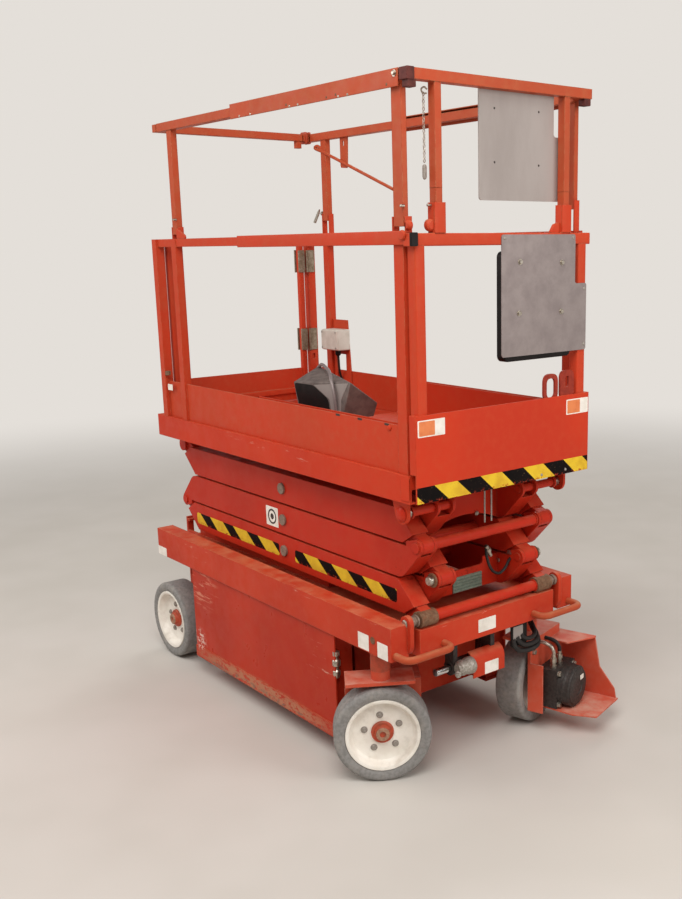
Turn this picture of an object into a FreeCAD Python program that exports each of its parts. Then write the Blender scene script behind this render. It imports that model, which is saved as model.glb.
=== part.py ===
import FreeCAD, Part
import math
import os

# Compact electric slab scissor lift, stowed, guard rails up, gate shut,
# roll-out deck in and both front wheels steered to the left stop.
# Frame: +X is the machine's front, +Y its left, +Z up, millimetres.
# The machine's centre line is y = 0 in the functions below; save() moves
# every shape by CENTRE_Y, so that the origin lies on the floor below the
# middle of the whole outline, which the left wheel guard widens.
CENTRE_Y = -30.0

# Overall sizes
HALF_W = 405.0                  # chassis ledge, outer face
LEDGE_IN = 335.0                # chassis ledge, inner face
LEDGE_Z0, LEDGE_Z1 = 460.0, 571.0
CH_X0, CH_X1 = -818.0, 808.0
BELLY_Z = 110.0
TOP_PLATE_Z = 512.0
DECK_HALF = 370.0
DECK_X0, DECK_X1 = -806.0, 874.0
DECK_Z0, DECK_Z1 = 971.0, 1057.0
FRONT_X = 907.0                 # outer face of the roll-out deck's front panel
FRONT_TOP = 1240.0
TOE_TOP = 1202.0

# Wheels and steering
TYRE_R, TYRE_W = 161.5, 100.0
RIM_R = 124.0
TRACK_Y = 338.0                 # wheel mid-plane, front and rear
REAR_X = -799.0
KING_X = 658.0
STEER = {"right": 57.0, "left": 107.0}
KNUCKLE_TOP = 345.0

# Scissor stack: three levels of outer and inner arms, pins at both ends
PIN_X, PIN_XR = 798.0, -765.0
PIN_Z0 = 570.0                  # base pin
STEP_Z = 118.0                  # height from one pin to the next when stowed
TUBE_H = 110.0
BOSS_R = 26.0
PIN_R = 14.0
BORE_R = 14.6
CROSS_R = 18.0                  # cross tubes
EAR = 10.0                      # thickness of a fork's two ears
OUTER_Y = (226.0, 290.0)
INNER_Y = (148.0, 220.0)
MID_X = 0.5 * (PIN_X + PIN_XR)
HALF_X = 0.5 * (PIN_X - PIN_XR)
LIFT_P = (-600.0, 455.0)        # lift cylinder's lower pin, in the chassis
LIFT_Q = (430.0, 640.0)         # its upper pin, on the lower inner arms
EYE_W, EYE_PIN_R = 32.0, 24.0   # half width of the rod's eye, radius of its pin
BARREL_L = 800.0

OUT = "parts"
os.makedirs(OUT, exist_ok=True)
V = FreeCAD.Vector


def box(x0, x1, y0, y1, z0, z1):
    return Part.makeBox(x1 - x0, y1 - y0, z1 - z0, V(x0, y0, z0))


def sides(x0, x1, y0, y1, z0, z1):
    """The same block on the left and on the right of the centre line."""
    return [box(x0, x1, y0, y1, z0, z1), box(x0, x1, -y1, -y0, z0, z1)]


def rod(axis, a, b, u, v, r):
    """Round bar along one axis from a to b; u and v are its other two coordinates in order."""
    if axis == "x":
        return Part.makeCylinder(r, b - a, V(a, u, v), V(1, 0, 0))
    if axis == "y":
        return Part.makeCylinder(r, b - a, V(u, a, v), V(0, 1, 0))
    return Part.makeCylinder(r, b - a, V(u, v, a), V(0, 0, 1))


def cross(y0, y1, x, z, r):
    """Round bars across the machine on both sides, from y0 to y1 out of the centre line."""
    return [rod("y", y0, y1, x, z, r), rod("y", -y1, -y0, x, z, r)]


def bar(p, q, r):
    p, q = V(*p), V(*q)
    d = q.sub(p)
    return Part.makeCylinder(r, d.Length, p, d)


def prism(points, direction):
    pts = [V(*p) for p in points]
    return Part.Face(Part.makePolygon(pts + [pts[0]])).extrude(V(*direction))


def plate_x_wise(outline, x0, x1, r):
    """Plate across the machine from an outline in y and z, its corners rounded to r."""
    p = prism([(x0, y, z) for y, z in outline], (x1 - x0, 0, 0))
    corners = [e for e in p.Edges if abs(e.tangentAt(e.FirstParameter).x) > 0.99]
    return p.makeFillet(r, corners)


def side_plate(outline, y0, y1):
    """Plate whose outline is given in x and z, from y0 to y1."""
    return prism([(x, y0, z) for x, z in outline], (0, y1 - y0, 0))


def fuse(shapes):
    s = shapes[0]
    if len(shapes) > 1:
        s = s.multiFuse(shapes[1:]).removeSplitter()
    return s


def cut(s, tools):
    for t in tools:
        s = s.cut(t)
    return s


def turn(s, centre, axis, deg):
    s = s.copy()
    s.rotate(V(*centre), V(*axis), deg)
    return s


def mirrored(s):
    return s.mirror(V(0, 0, 0), V(0, 1, 0))


def save(name, shape):
    s = shape.copy()
    s.translate(V(0, CENTRE_Y, 0))
    s.exportStep(os.path.join(OUT, name + ".step"))


def strap(p, rp, q, rq, y0, y1):
    """Plate that runs round two circles in the XZ plane and along their common tangents."""
    dx, dz = q[0] - p[0], q[1] - p[1]
    d = math.hypot(dx, dz)
    base, lean = math.atan2(dz, dx), math.acos((rp - rq) / d)

    def at(c, r, a):
        return V(c[0] + r * math.cos(a), y0, c[1] + r * math.sin(a))

    up, dn = base + lean, base - lean
    edges = [Part.LineSegment(at(p, rp, up), at(q, rq, up)),
             Part.Arc(at(q, rq, up), at(q, rq, base), at(q, rq, dn)),
             Part.LineSegment(at(q, rq, dn), at(p, rp, dn)),
             Part.Arc(at(p, rp, dn), at(p, rp, base + math.pi), at(p, rp, up))]
    wire = Part.Wire([e.toShape() for e in edges])
    return Part.Face(wire).extrude(V(0, y1 - y0, 0))


def bent_bar(points, r, bend):
    """Round bar along straight runs whose corners are bent to one radius."""
    pts = [V(*p) for p in points]
    edges, start = [], pts[0]
    for before, corner, after in zip(pts, pts[1:], pts[2:]):
        a, b = before.sub(corner).normalize(), after.sub(corner).normalize()
        half = 0.5 * a.getAngle(b)
        back = bend / math.tan(half)
        p, q = corner + a * back, corner + b * back
        middle = corner + (a + b).normalize() * (bend / math.sin(half) - bend)
        edges += [Part.LineSegment(start, p).toShape(), Part.Arc(p, middle, q).toShape()]
        start = q
    edges.append(Part.LineSegment(start, pts[-1]).toShape())
    path = Part.Wire(edges)
    ring = Part.Wire(Part.makeCircle(r, pts[0], pts[1].sub(pts[0])))
    return path.makePipeShell([ring], True, False)


# Chassis: two side ledges over a narrower box that holds the heavy gear
AXLE_BOX_X = -690.0
WELL_HALF = 52.0                # half width of the lift cylinder's well
FRONT_BOX_X = 430.0             # the wheels' room begins here
frame = sides(CH_X0, CH_X1, LEDGE_IN, HALF_W, LEDGE_Z0, LEDGE_Z1)
frame.append(box(CH_X0, 776, -340, 340, TOP_PLATE_Z - 12, TOP_PLATE_Z))
frame += sides(AXLE_BOX_X, FRONT_BOX_X, 272, 280, BELLY_Z, 505)
frame.append(box(AXLE_BOX_X, FRONT_BOX_X, -280, 280, BELLY_Z, BELLY_Z + 8))
frame.append(box(FRONT_BOX_X - 8, FRONT_BOX_X, -280, 280, BELLY_Z, 505))
frame.append(box(AXLE_BOX_X, AXLE_BOX_X + 8, -280, 280, BELLY_Z, 505))
frame.append(box(-850, -780, -275, 275, 128, 196))            # rear axle beam
frame += sides(-850, AXLE_BOX_X + 4, 196, 204, BELLY_Z, 505)  # its two gussets
frame += sides(-800, 190, 150, 218, TOP_PLATE_Z, 540)         # tracks of the base rollers
frame += sides(FRONT_BOX_X, 776, 242, 250, 432, 505)          # front box over the steering gear
frame.append(box(FRONT_BOX_X, 776, -250, 250, 432, 440))
for s in (1, -1):
    frame.append(rod("y", *sorted((s * 268, s * 345)), REAR_X, TYRE_R, 22))
    frame.append(rod("z", 452, 512, KING_X, s * TRACK_Y, 38))
    frame.append(box(KING_X - 60, KING_X + 60, *sorted((s * 240, s * 340)), 470, 505))
    frame.append(box(LIFT_P[0] - 40, LIFT_P[0] + 40, *sorted((s * 52, s * 64)), 395, 505))
    frame.append(strap((PIN_X, PIN_Z0), 25, (PIN_X - 10, 500), 34, *sorted((s * 324, s * 340))))
chassis = fuse(frame)
holes = [box(-665, 60, -WELL_HALF, WELL_HALF, 395, 520)]
holes += [rod("z", 440, 520, KING_X, s * TRACK_Y, 15) for s in (1, -1)]
holes += cross(290, 338, PIN_X, PIN_Z0, PIN_R)
holes += cross(40, 70, LIFT_P[0], LIFT_P[1], 16)
save("chassis_frame", cut(chassis, holes))
save("front_beam", box(776, 821, -300, 300, 455, 543))
save("base_pins", fuse(cross(222, 337, PIN_X, PIN_Z0, PIN_R) + cross(296, 301, PIN_X, PIN_Z0, 20)))

# Lashing loops: bent round bar, welded to the front beam and to the ledges
LOOP_R, LOOP_X, LOOP_Z = 12.0, 872.0, 478.0
loops = []
for s in (1, -1):
    corners = ((821, 202), (LOOP_X, 202), (LOOP_X, 388), (CH_X1, 388))
    route = [(x, s * y, LOOP_Z) for x, y in corners]
    loops.append(bent_bar(route, LOOP_R, 30))
save("tie_down_loops", Part.makeCompound(loops))

ladder = sides(-955, -850, 196, 204, 250, 292) + sides(-955, -850, 196, 204, 460, 502)
ladder += sides(-955, -943, 176, 204, 235, 560)
for z in (262, 410, 548):
    ladder.append(box(-955, -925, -204, 204, z - 5, z + 5))
save("rear_ladder", fuse(ladder))

save("hydraulic_block", box(-640, 380, -230, -60, 125, 380))
save("battery_block", box(-640, 380, 60, 230, 125, 380))

# Scissor arms. Every arm lies flat when stowed; its two pins sit half a step
# above and below it. A boss arm has a welded boss at each end, which turns
# between the two ears of a fork arm's end.
H = TUBE_H / 2
HALF_Z = STEP_Z / 2


def half_turn(s):
    """The same end piece on the arm's other end."""
    return turn(s, (0, 0, 0), (0, 1, 0), 180)


def boss_arm(y0, y1):
    """Side of an arm about its middle pivot, its front pin low and its rear pin high."""
    foot = (HALF_X, -HALF_Z)
    slope = [(0, -H), (HALF_X - 70, -H), (HALF_X - 16, foot[1] + 38), (HALF_X - 100, H), (0, H)]
    end = side_plate(slope, y0, y1)
    boss = strap(foot, BOSS_R, (HALF_X - 90, -H + 30), 26, y0 + EAR + 1, y1 - EAR - 1)
    front = end.fuse(boss)
    return fuse([front, half_turn(front)])


def fork_arm(y0, y1):
    """Side of an arm about its middle pivot, its front pin high and its rear pin low."""
    top = (HALF_X, HALF_Z)
    end = strap(top, BOSS_R, (HALF_X - 98, 0), H, y0, y1)
    end = end.cut(box(HALF_X - 200, HALF_X - 50, y0, y1, H, H + 60))
    room = side_plate([(HALF_X - 72, H - 8), (HALF_X - 9, HALF_Z - 30), (HALF_X + 40, HALF_Z - 30),
                       (HALF_X + 40, 140), (HALF_X - 72, 140)], y0 + EAR, y1 - EAR)
    body = box(-HALF_X + 98, HALF_X - 98, y0, y1, -H, H)
    return cut(fuse([body, end, half_turn(end)]), [room, half_turn(room)])


def cross_plate(level, zc):
    """Upright plate between the inner arms near the front, notched for the hoses."""
    x = PIN_X - 110
    plate = box(x, x + 8, -INNER_Y[0] - 1, INNER_Y[0] + 1, zc - 52, zc + 52)
    if level == 1:
        notch = fuse([box(x - 1, x + 9, -80, 80, zc + 40, zc + 60),
                      box(x - 1, x + 9, -66, 66, zc + 26, zc + 60),
                      rod("x", x - 1, x + 9, -66, zc + 40, 14),
                      rod("x", x - 1, x + 9, 66, zc + 40, 14)])
        return plate.cut(notch)
    arch_r, rise = 340.0, 30.0
    return plate.cut(rod("x", x - 1, x + 9, 0, zc - 52 + rise - arch_r, arch_r))


def arm_pair(level, outer):
    """Both sides of one level's outer or inner arms, with the pins and cross tubes they carry."""
    zc = PIN_Z0 + STEP_Z * (level - 0.5)
    lo, hi = zc - HALF_Z, zc + HALF_Z
    y0, y1 = OUTER_Y if outer else INNER_Y
    fork = outer == (level == 2)
    side = fork_arm(y0, y1) if fork else boss_arm(y0, y1)
    side.translate(V(MID_X, 0, zc))
    shapes = [side, mirrored(side)]
    front, rear = ((PIN_X, hi), (PIN_XR, lo)) if fork else ((PIN_X, lo), (PIN_XR, hi))
    pins, bores = [], []
    if outer:
        pins += cross(INNER_Y[0] - 3, y1, MID_X, zc, PIN_R) + cross(y1, y1 + 6, MID_X, zc, 20)
        x, z = rear if level == 3 else front
        shapes.append(rod("y", -y0 - 1, y0 + 1, x, z, CROSS_R))
    else:
        bores.append((MID_X, zc))
        if level == 2:
            shapes += [rod("y", -y0 - 1, y0 + 1, x, zc, 24) for x in (MID_X - 560, MID_X + 560)]
        else:
            shapes.append(cross_plate(level, zc))
        if level == 1:
            shapes += cross(EYE_W + 8, y0 + 1, *LIFT_Q, EYE_PIN_R)    # lugs beside the rod's eye
        if level == 3:
            shapes.append(rod("y", -y0 - 1, y0 + 1, MID_X - 560, zc, 24))
    for (x, z), carried in ((front, fork and level != 3), (rear, fork)):
        if carried:
            pins += cross(y0 - 3, y1, x, z, PIN_R) + cross(y1, y1 + 5, x, z, 18)
        elif not (level == 3 and outer and x == PIN_XR):
            bores.append((x, z))
    if level == 1 and not outer:
        pins += cross(y0 + EAR + 1, y1 - EAR - 1, *rear, 28)      # rollers on the chassis
    if level == 3 and outer:
        pins += cross(y0, y0 + EAR + 1, *rear, 27) + cross(y1 - EAR - 1, y1, *rear, 27)   # under the deck
    if level == 1 and outer:
        shapes += cross(y0 - 2, y1, *front, BOSS_R)               # plain bushings of the base pins
    body = cut(fuse(shapes), [c for x, z in bores for c in cross(y0 - 20, y1 + 20, x, z, BORE_R)])
    return fuse([body] + pins) if pins else body


for i, word in enumerate(("lower", "middle", "upper")):
    save(word + "_outer_arms", arm_pair(i + 1, True))
    save(word + "_inner_arms", arm_pair(i + 1, False))
plate_x = PIN_X - 102
save("id_plate", box(plate_x, plate_x + 3, -57, 72, 578, 632))

# Lift cylinder, drawn stowed
px, pz = LIFT_P
qx, qz = LIFT_Q
span = math.hypot(qx - px, qz - pz)
ux, uz = (qx - px) / span, (qz - pz) / span


def along(t):
    """Point on the cylinder's axis, t millimetres from its lower pin."""
    return (px + ux * t, 0, pz + uz * t)


barrel = fuse([bar(along(0), along(BARREL_L), 44), rod("y", -46, 46, px, pz, 34)])
barrel = cut(barrel, [bar(along(60), along(BARREL_L + 1), 27), rod("y", -60, 60, px, pz, 17)])
save("lift_barrel", barrel)
save("lift_rod", fuse([bar(along(130), along(span - 30), 25), rod("y", -EYE_W, EYE_W, qx, qz, 40),
                       rod("y", -EYE_W - 4, EYE_W + 4, qx, qz, EYE_PIN_R)]))
save("lift_base_pin", rod("y", -64, 64, px, pz, 16))

# Platform: the fixed deck
P3_Z = PIN_Z0 + 3 * STEP_Z
TRACK_Z = P3_Z + 28
deck = [box(DECK_X0, DECK_X1, -362, 362, 1045, DECK_Z1)]
deck += sides(DECK_X0, DECK_X1, 362, DECK_HALF, DECK_Z0, DECK_Z1)
deck += sides(DECK_X0, DECK_X1, 348, 364, DECK_Z0, DECK_Z0 + 6)
deck += sides(-800, 20, 222, 304, TRACK_Z, TRACK_Z + 8)          # tracks of the upper rollers
deck += sides(-800, 20, 298, 304, TRACK_Z, 1046)
deck += [box(x, x + 30, -363, 363, 1015, 1046) for x in (-806, -240, 330, 844)]
for s in (1, -1):
    y0, y1 = sorted((s * 334, s * 344))
    ear = strap((PIN_X, P3_Z), 32, (PIN_X - 12, 1010), 44, y0, y1).common(box(700, 900, y0, y1, 850, 1046))
    deck.append(ear)
deck = cut(fuse(deck), cross(300, 346, PIN_X, P3_Z, 15))
save("main_deck", deck)
save("platform_pins", fuse(cross(146, 350, PIN_X, P3_Z, PIN_R) + cross(306, 313, PIN_X, P3_Z, 20)))

# Main rails: posts, mid rail, pivot lugs and toe board of each side of the fixed deck
MID_Z0, MID_Z1 = 1730.0, 1760.0
FOLD_Z = {"right": 1790.0, "left": 1845.0, "front": 1895.0}


def main_rails(s, pivot_z):
    parts = [box(x0, x1, *sorted((s * y0, s * y1)), DECK_Z1, MID_Z1) for x0, x1, y0, y1 in (
        (-747, -712, 335, 370), (-590, -555, 335, 365), (812, 856, 340, 361))]
    parts.append(box(-747, 856, *sorted((s * 331, s * 361)), MID_Z0, MID_Z1))
    parts.append(box(-712, 812, *sorted((s * 352, s * 356)), DECK_Z1, TOE_TOP))
    for x0, x1 in ((-580, -545), (812, 856)):
        for x in (x0 - 9, x1 + 5):
            parts.append(box(x, x + 4, *sorted((s * 334, s * 358)), MID_Z1 - 2, pivot_z + 14))
    return fuse(parts)


save("right_main_rails", main_rails(-1, FOLD_Z["right"]))
save("left_main_rails", main_rails(1, FOLD_Z["left"]))


def side_guard(s, pivot_z):
    """Folding upper part of one side: top rail and two posts down to the pivot lugs."""
    z0 = pivot_z - 14
    g = [box(-655, 856, *sorted((s * 331, s * 361)), 2158, 2188)]
    if s > 0:
        g.append(box(-690, -640, 331, 361, 2158, 2188))
        g.append(box(-690, -662, 306, 361, 2158, 2188))
    g.append(box(-580, -545, *sorted((s * 334, s * 358)), z0, 2160))
    g.append(box(812, 856, *sorted((s * 340, s * 358)), z0, 2160))
    return fuse(g)


save("right_upper_guard", side_guard(-1, FOLD_Z["right"]))
save("left_upper_guard", side_guard(1, FOLD_Z["left"]))
# The bar over the gate swings out on the left guard's corner
save("rear_top_bar", fuse([box(-690, -662, -361, 300, 2159, 2187),
                           box(-686, -666, 272, 296, 2130, 2162)]))

# The gate hangs on two strap hinges on the left corner post and shuts on the right one
GATE_Y = (-322.0, 316.0)
gate = [box(-741, -717, *GATE_Y, z, z + 24) for z in (1090, 1420, 1732)]
for y in (GATE_Y[0], GATE_Y[1] - 24):
    gate.append(box(-741, -717, y, y + 24, 1090, 1756))
gate.append(box(-731, -727, *GATE_Y, 1100, TOE_TOP))
save("rear_gate", fuse(gate))
save("gate_hinges", Part.makeCompound([box(-753, -747, 290, 366, z, z + 96) for z in (1277, 1615)]))

# Roll-out deck: floor, toe boards, front panel with its wings
FLOOR_Z0, FLOOR_Z1 = 1064.0, 1076.0
rollout = [box(-44, 903, -330, 330, FLOOR_Z0, FLOOR_Z1)]
rollout += sides(-44, 903, 326, 330, FLOOR_Z0, TOE_TOP)
rollout.append(box(903, FRONT_X, -DECK_HALF, DECK_HALF, 978, FRONT_TOP))
rollout += sides(878, 904, 329, DECK_HALF, FLOOR_Z0, FRONT_TOP)
rollout = fuse(rollout)
save("rollout_deck", rollout)
posts = sides(864, 901, 318, 354, FLOOR_Z1, 1757)
posts.append(box(869, 901, -DECK_HALF, DECK_HALF, 1721, 1757))
posts += sides(-69, 901, 367, DECK_HALF, 1715, 1767) + sides(-69, 901, 362, 368, 1715, 1718)
for s in (1, -1):
    for y in (240, 277):
        posts.append(box(871, 899, *sorted((s * y, s * (y + 4))), 1750, FOLD_Z["front"] + 14))
    posts.append(box(899, 903, *sorted((s * 240, s * 281)), 1757, FOLD_Z["front"] + 14))
save("rollout_rails", fuse(posts).cut(rollout))

save("front_upper_guard", fuse([box(869, 901, -DECK_HALF, DECK_HALF, 2165, 2195)]
                               + sides(871, 899, 249, 273, FOLD_Z["front"] - 14, 2170)))
# Bare sheet behind the top rail, cut back at its upper corner to clear the guard's post
SHEET = [(-81, 1852), (258, 1852), (258, 2046), (232, 2046), (232, 2175), (-81, 2175)]
save("sheet_panel", plate_x_wise(SHEET, 865, 868.9, 10))
for name, s in (("right", -1), ("left", 1)):
    save(name + "_top_channel", fuse([box(-69, 860, *sorted((s * 367, s * 370)), 2149, 2197),
                                      box(-69, 860, *sorted((s * 326, s * 370)), 2194, 2197)]))
PLATE = [(-23, 1383), (354, 1383), (354, 1598), (300, 1598), (300, 1752), (-23, 1752)]
save("backing_plate", plate_x_wise(PLATE, 901, 904, 8))
save("document_box", box(866, 901, -1, 315, 1345, 1714))
# Console: its foot, its back, the level top with the switches, and the long slope towards the front
CONSOLE = [(60, 1150), (30, 1190), (50, 1262), (225, 1290), (430, 1186), (420, 1150)]
save("control_box", prism([(x, -250, z) for x, z in CONSOLE], (0, 130, 0)))
save("control_bracket", fuse([box(190, 230, -200, -180, 1080, 1150),
                              box(150, 270, -230, -150, FLOOR_Z1, FLOOR_Z1 + 6)]))
# The outlet box hangs on an arched plate that stands against the left toe board
HOOP_Y = 346.0
arch = side_plate([(-553, 1140), (-553, 1418), (-446, 1418), (-426, 1140)], HOOP_Y, HOOP_Y + 6)
save("outlet_hoop", arch.cut(box(-530, -462, 340, 360, 1139, 1272)))
save("outlet_box", box(-550, -430, 286, HOOP_Y, 1293, 1380))

# Swing-out side trays: skin, floor and bottom lip, each with the block it carries
TRAY_X0, TRAY_X1 = -540.0, 478.0
for name, s in (("right", -1), ("left", 1)):
    t = [box(TRAY_X0, TRAY_X1, *sorted((s * 389, s * 395)), 84, 455)]
    t.append(box(TRAY_X0 + 10, TRAY_X1 - 10, *sorted((s * 300, s * 392)), 84, 90))
    t.append(box(TRAY_X0, TRAY_X1, *sorted((s * 375, s * 399)), 80, 128))
    t.append(box(TRAY_X1 - 26, TRAY_X1 - 20, *sorted((s * 310, s * 390)), 84, 440))
    save(name + "_tray", fuse(t))
    save(name + "_tray_pack", box(TRAY_X0 + 40, TRAY_X1 - 60, *sorted((s * 300, s * 374)), 90, 400))


def spun(outline, cx, cy, out):
    """Ring spun about the wheel's axle from a radius and offset outline; out is its outer side."""
    face = Part.Face(Part.makePolygon([V(r, y * out, 0) for r, y in outline + outline[:1]]))
    s = face.revolve(V(0, 0, 0), V(0, 1, 0), 360)
    s.translate(V(cx, cy, TYRE_R))
    return s


HALF_T = TYRE_W / 2
TYRE = [(RIM_R, -HALF_T), (TYRE_R, -HALF_T), (TYRE_R, HALF_T - 10), (TYRE_R - 8, HALF_T), (RIM_R, HALF_T)]
RIM = [(24, -18), (RIM_R, -18), (RIM_R, HALF_T - 8), (RIM_R - 14, HALF_T - 20), (24, HALF_T - 20)]


def wheel(name, cx, cy, out, deg):
    """Tyre and dished rim with its hub, turned with the steering."""
    hub = fuse([spun(RIM, cx, cy, out),
                rod("y", *sorted((cy + out * (HALF_T - 20), cy + out * (HALF_T - 4))), cx, TYRE_R, 36),
                rod("y", *sorted((cy + out * (HALF_T - 4), cy + out * (HALF_T + 8))), cx, TYRE_R, 16)])
    save(name + "_tyre", turn(spun(TYRE, cx, cy, out), (cx, cy, 0), (0, 0, 1), deg))
    save(name + "_rim", turn(hub, (cx, cy, 0), (0, 0, 1), deg))


# Knuckles carry the drive motors and a cup-shaped guard, drawn straight and turned on the kingpin
YOKE = (62.0, 74.0)             # inward distance of the yoke plate from the kingpin
YOKE_BACK = -117.0              # its rear edge, behind the kingpin
CUP_Z = 80.0                    # underside of the guard
GUARD_X = (132.0, 138.0)        # upright wall of the guard, ahead of the kingpin
WALL = [(62, 311), (207, 311), (228, 196), (288, 122), (296, CUP_Z), (62, CUP_Z)]  # inward, up
CUP = [(-60, 62), (-74, 218), (-47, 302), (138, 302), (138, 62)]                 # forward, inward
ROOF = [(22, 62), (22, 149), (125, 210), (138, 210), (138, 62)]                  # forward, inward
for name, s in (("right", -1), ("left", 1)):
    king = (KING_X, s * TRACK_Y, 0)
    deg = STEER[name]
    wheel("rear_" + name, REAR_X, s * TRACK_Y, s, 0)
    wheel("front_" + name, KING_X, s * TRACK_Y, s, deg)

    def inward(u0, u1):
        return sorted((s * (TRACK_Y - u0), s * (TRACK_Y - u1)))

    k = [box(KING_X + YOKE_BACK, KING_X + 110, *inward(-40, YOKE[1]), KNUCKLE_TOP - 12, KNUCKLE_TOP),
         rod("z", KNUCKLE_TOP - 5, 446, KING_X, s * TRACK_Y, 32),
         rod("z", 440, 496, KING_X, s * TRACK_Y, 14),
         box(KING_X + YOKE_BACK, KING_X + 110, *inward(*YOKE), CUP_Z, KNUCKLE_TOP),
         box(KING_X + YOKE_BACK, KING_X + YOKE_BACK + 6, *inward(YOKE[0], 122), CUP_Z, 262),
         box(KING_X + 108, KING_X + GUARD_X[1], *inward(*YOKE), CUP_Z, 311)]
    k.append(prism([(KING_X + GUARD_X[0], s * (TRACK_Y - u), z) for u, z in WALL], (6, 0, 0)))
    k.append(prism([(KING_X + x, s * (TRACK_Y - u), CUP_Z) for x, u in CUP], (0, 0, 6)))
    k.append(prism([(KING_X + x, s * (TRACK_Y - u), 305) for x, u in ROOF], (0, 0, 6)))
    knuckle = fuse(k).cut(rod("y", *inward(50, 90), KING_X, TYRE_R, 46))
    save("%s_knuckle" % name, turn(knuckle, king, (0, 0, 1), deg))
    motor = fuse([box(KING_X - 66, KING_X + 66, *inward(74, 100), TYRE_R - 66, TYRE_R + 66),
                  box(KING_X - 72, KING_X + 72, *inward(100, 156), TYRE_R - 72, TYRE_R + 72),
                  rod("y", *inward(155, 198), KING_X, TYRE_R, 75),
                  rod("y", *inward(197, 206), KING_X, TYRE_R, 66),
                  rod("y", *inward(20, 76), KING_X, TYRE_R, 44)])
    save("%s_drive_motor" % name, turn(motor, king, (0, 0, 1), deg))

# Steering cylinder across the front box, behind its bent cover
RAM_X, RAM_Z = 746.0, 345.0
ram = fuse([rod("y", -120, 60, RAM_X, RAM_Z, 26), box(RAM_X - 22, RAM_X + 22, -118, -100, RAM_Z, 432),
            box(RAM_X - 22, 778, 40, 58, RAM_Z, 432)])
save("steering_barrel", ram.cut(rod("y", -121, 61, RAM_X, RAM_Z, 15)))
save("steering_rod", rod("y", -180, 120, RAM_X, RAM_Z, 13))
cover = strap((770, 303), 30, (770, 470), 30, -60, 84)
cover = cover.cut(strap((770, 303), 26, (770, 470), 26, -61, 85))
save("steering_cover", cover.common(box(777, 801, -62, 86, 272, 392)))
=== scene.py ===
import math

import bmesh
import bpy
import numpy as np
from mathutils import Matrix, Vector


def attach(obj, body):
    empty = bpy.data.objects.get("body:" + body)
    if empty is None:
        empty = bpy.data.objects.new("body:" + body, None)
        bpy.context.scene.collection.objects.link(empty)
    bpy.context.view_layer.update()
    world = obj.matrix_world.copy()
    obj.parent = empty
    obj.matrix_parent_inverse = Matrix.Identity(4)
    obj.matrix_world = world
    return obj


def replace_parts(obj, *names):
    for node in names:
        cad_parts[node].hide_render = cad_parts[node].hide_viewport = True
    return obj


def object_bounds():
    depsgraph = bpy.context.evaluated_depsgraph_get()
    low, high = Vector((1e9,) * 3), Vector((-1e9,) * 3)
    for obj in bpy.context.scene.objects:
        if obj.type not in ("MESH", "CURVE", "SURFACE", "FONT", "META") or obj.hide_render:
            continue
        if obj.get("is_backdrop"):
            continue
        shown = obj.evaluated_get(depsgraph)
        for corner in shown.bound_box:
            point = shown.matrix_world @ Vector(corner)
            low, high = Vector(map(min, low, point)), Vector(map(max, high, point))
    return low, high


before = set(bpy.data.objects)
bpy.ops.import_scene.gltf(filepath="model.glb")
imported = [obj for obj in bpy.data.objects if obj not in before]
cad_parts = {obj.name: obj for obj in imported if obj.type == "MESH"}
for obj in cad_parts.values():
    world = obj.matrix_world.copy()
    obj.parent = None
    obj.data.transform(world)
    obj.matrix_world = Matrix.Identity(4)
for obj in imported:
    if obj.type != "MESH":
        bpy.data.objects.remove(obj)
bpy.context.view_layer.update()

CENTRE_Y = -30.0        # the machine's middle plane in the frame, mm
PIN_X, REAR_PIN_X = 798.0, -765.0
MID_X = 16.5
BASE_Z, STEP_Z = 570.0, 118.0
TYRE_R, TRACK_Y = 161.5, 338.0
REAR_X, KING_X = -799.0, 658.0
TURN = {"front_right": 57.0, "front_left": 107.0, "rear_right": 0.0, "rear_left": 0.0}
FRONT_X = 907.0         # face of the front panel
ARM_FACE = 290.0        # outer face of the outer arms, from the middle plane



def camera():
    """Camera at the photograph's place: position, looking direction and roll give its three axes."""
    pos = Vector((3.2436, -2.2562, 1.7213))
    yaw, pitch, roll = 2.43832, -0.22024, -0.012996
    look = Vector((math.cos(pitch) * math.cos(yaw), math.cos(pitch) * math.sin(yaw), math.sin(pitch)))
    side = look.cross(Vector((0, 0, 1))).normalized()
    top = side.cross(look)
    right = math.cos(roll) * side + math.sin(roll) * top
    up = -math.sin(roll) * side + math.cos(roll) * top
    data = bpy.data.cameras.new("camera")
    data.sensor_width, data.lens = 36.0, 1044.54 * 36.0 / 899.0
    data.shift_x, data.shift_y = -108.0 / 899.0, 30.06 / 899.0
    data.clip_start, data.clip_end = 0.05, 200.0
    obj = bpy.data.objects.new("camera", data)
    obj.matrix_world = Matrix((
        (right.x, up.x, -look.x, pos.x),
        (right.y, up.y, -look.y, pos.y),
        (right.z, up.z, -look.z, pos.z),
        (0, 0, 0, 1)))
    bpy.context.scene.collection.objects.link(obj)
    bpy.context.scene.camera = obj


camera()



def linear(text):
    """sRGB hex to linear RGBA: c/12.92 below 0.04045, ((c + 0.055)/1.055)^2.4 above."""
    c = np.array([int(text[i:i + 2], 16) for i in (1, 3, 5)]) / 255.0
    c = np.where(c <= 0.04045, c / 12.92, ((c + 0.055) / 1.055) ** 2.4)
    return (*c.tolist(), 1.0)


def add(tree, kind, inputs=None, **settings):
    """Adds one node: its settings by name, its inputs by name or number, a socket given as a value is linked."""
    node = tree.nodes.new(kind)
    for name, value in settings.items():
        setattr(node, name, value)
    for key, value in (inputs or {}).items():
        socket = node.inputs[key]
        if isinstance(value, bpy.types.NodeSocket):
            tree.links.new(value, socket)
        else:
            socket.default_value = value
    return node


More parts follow.
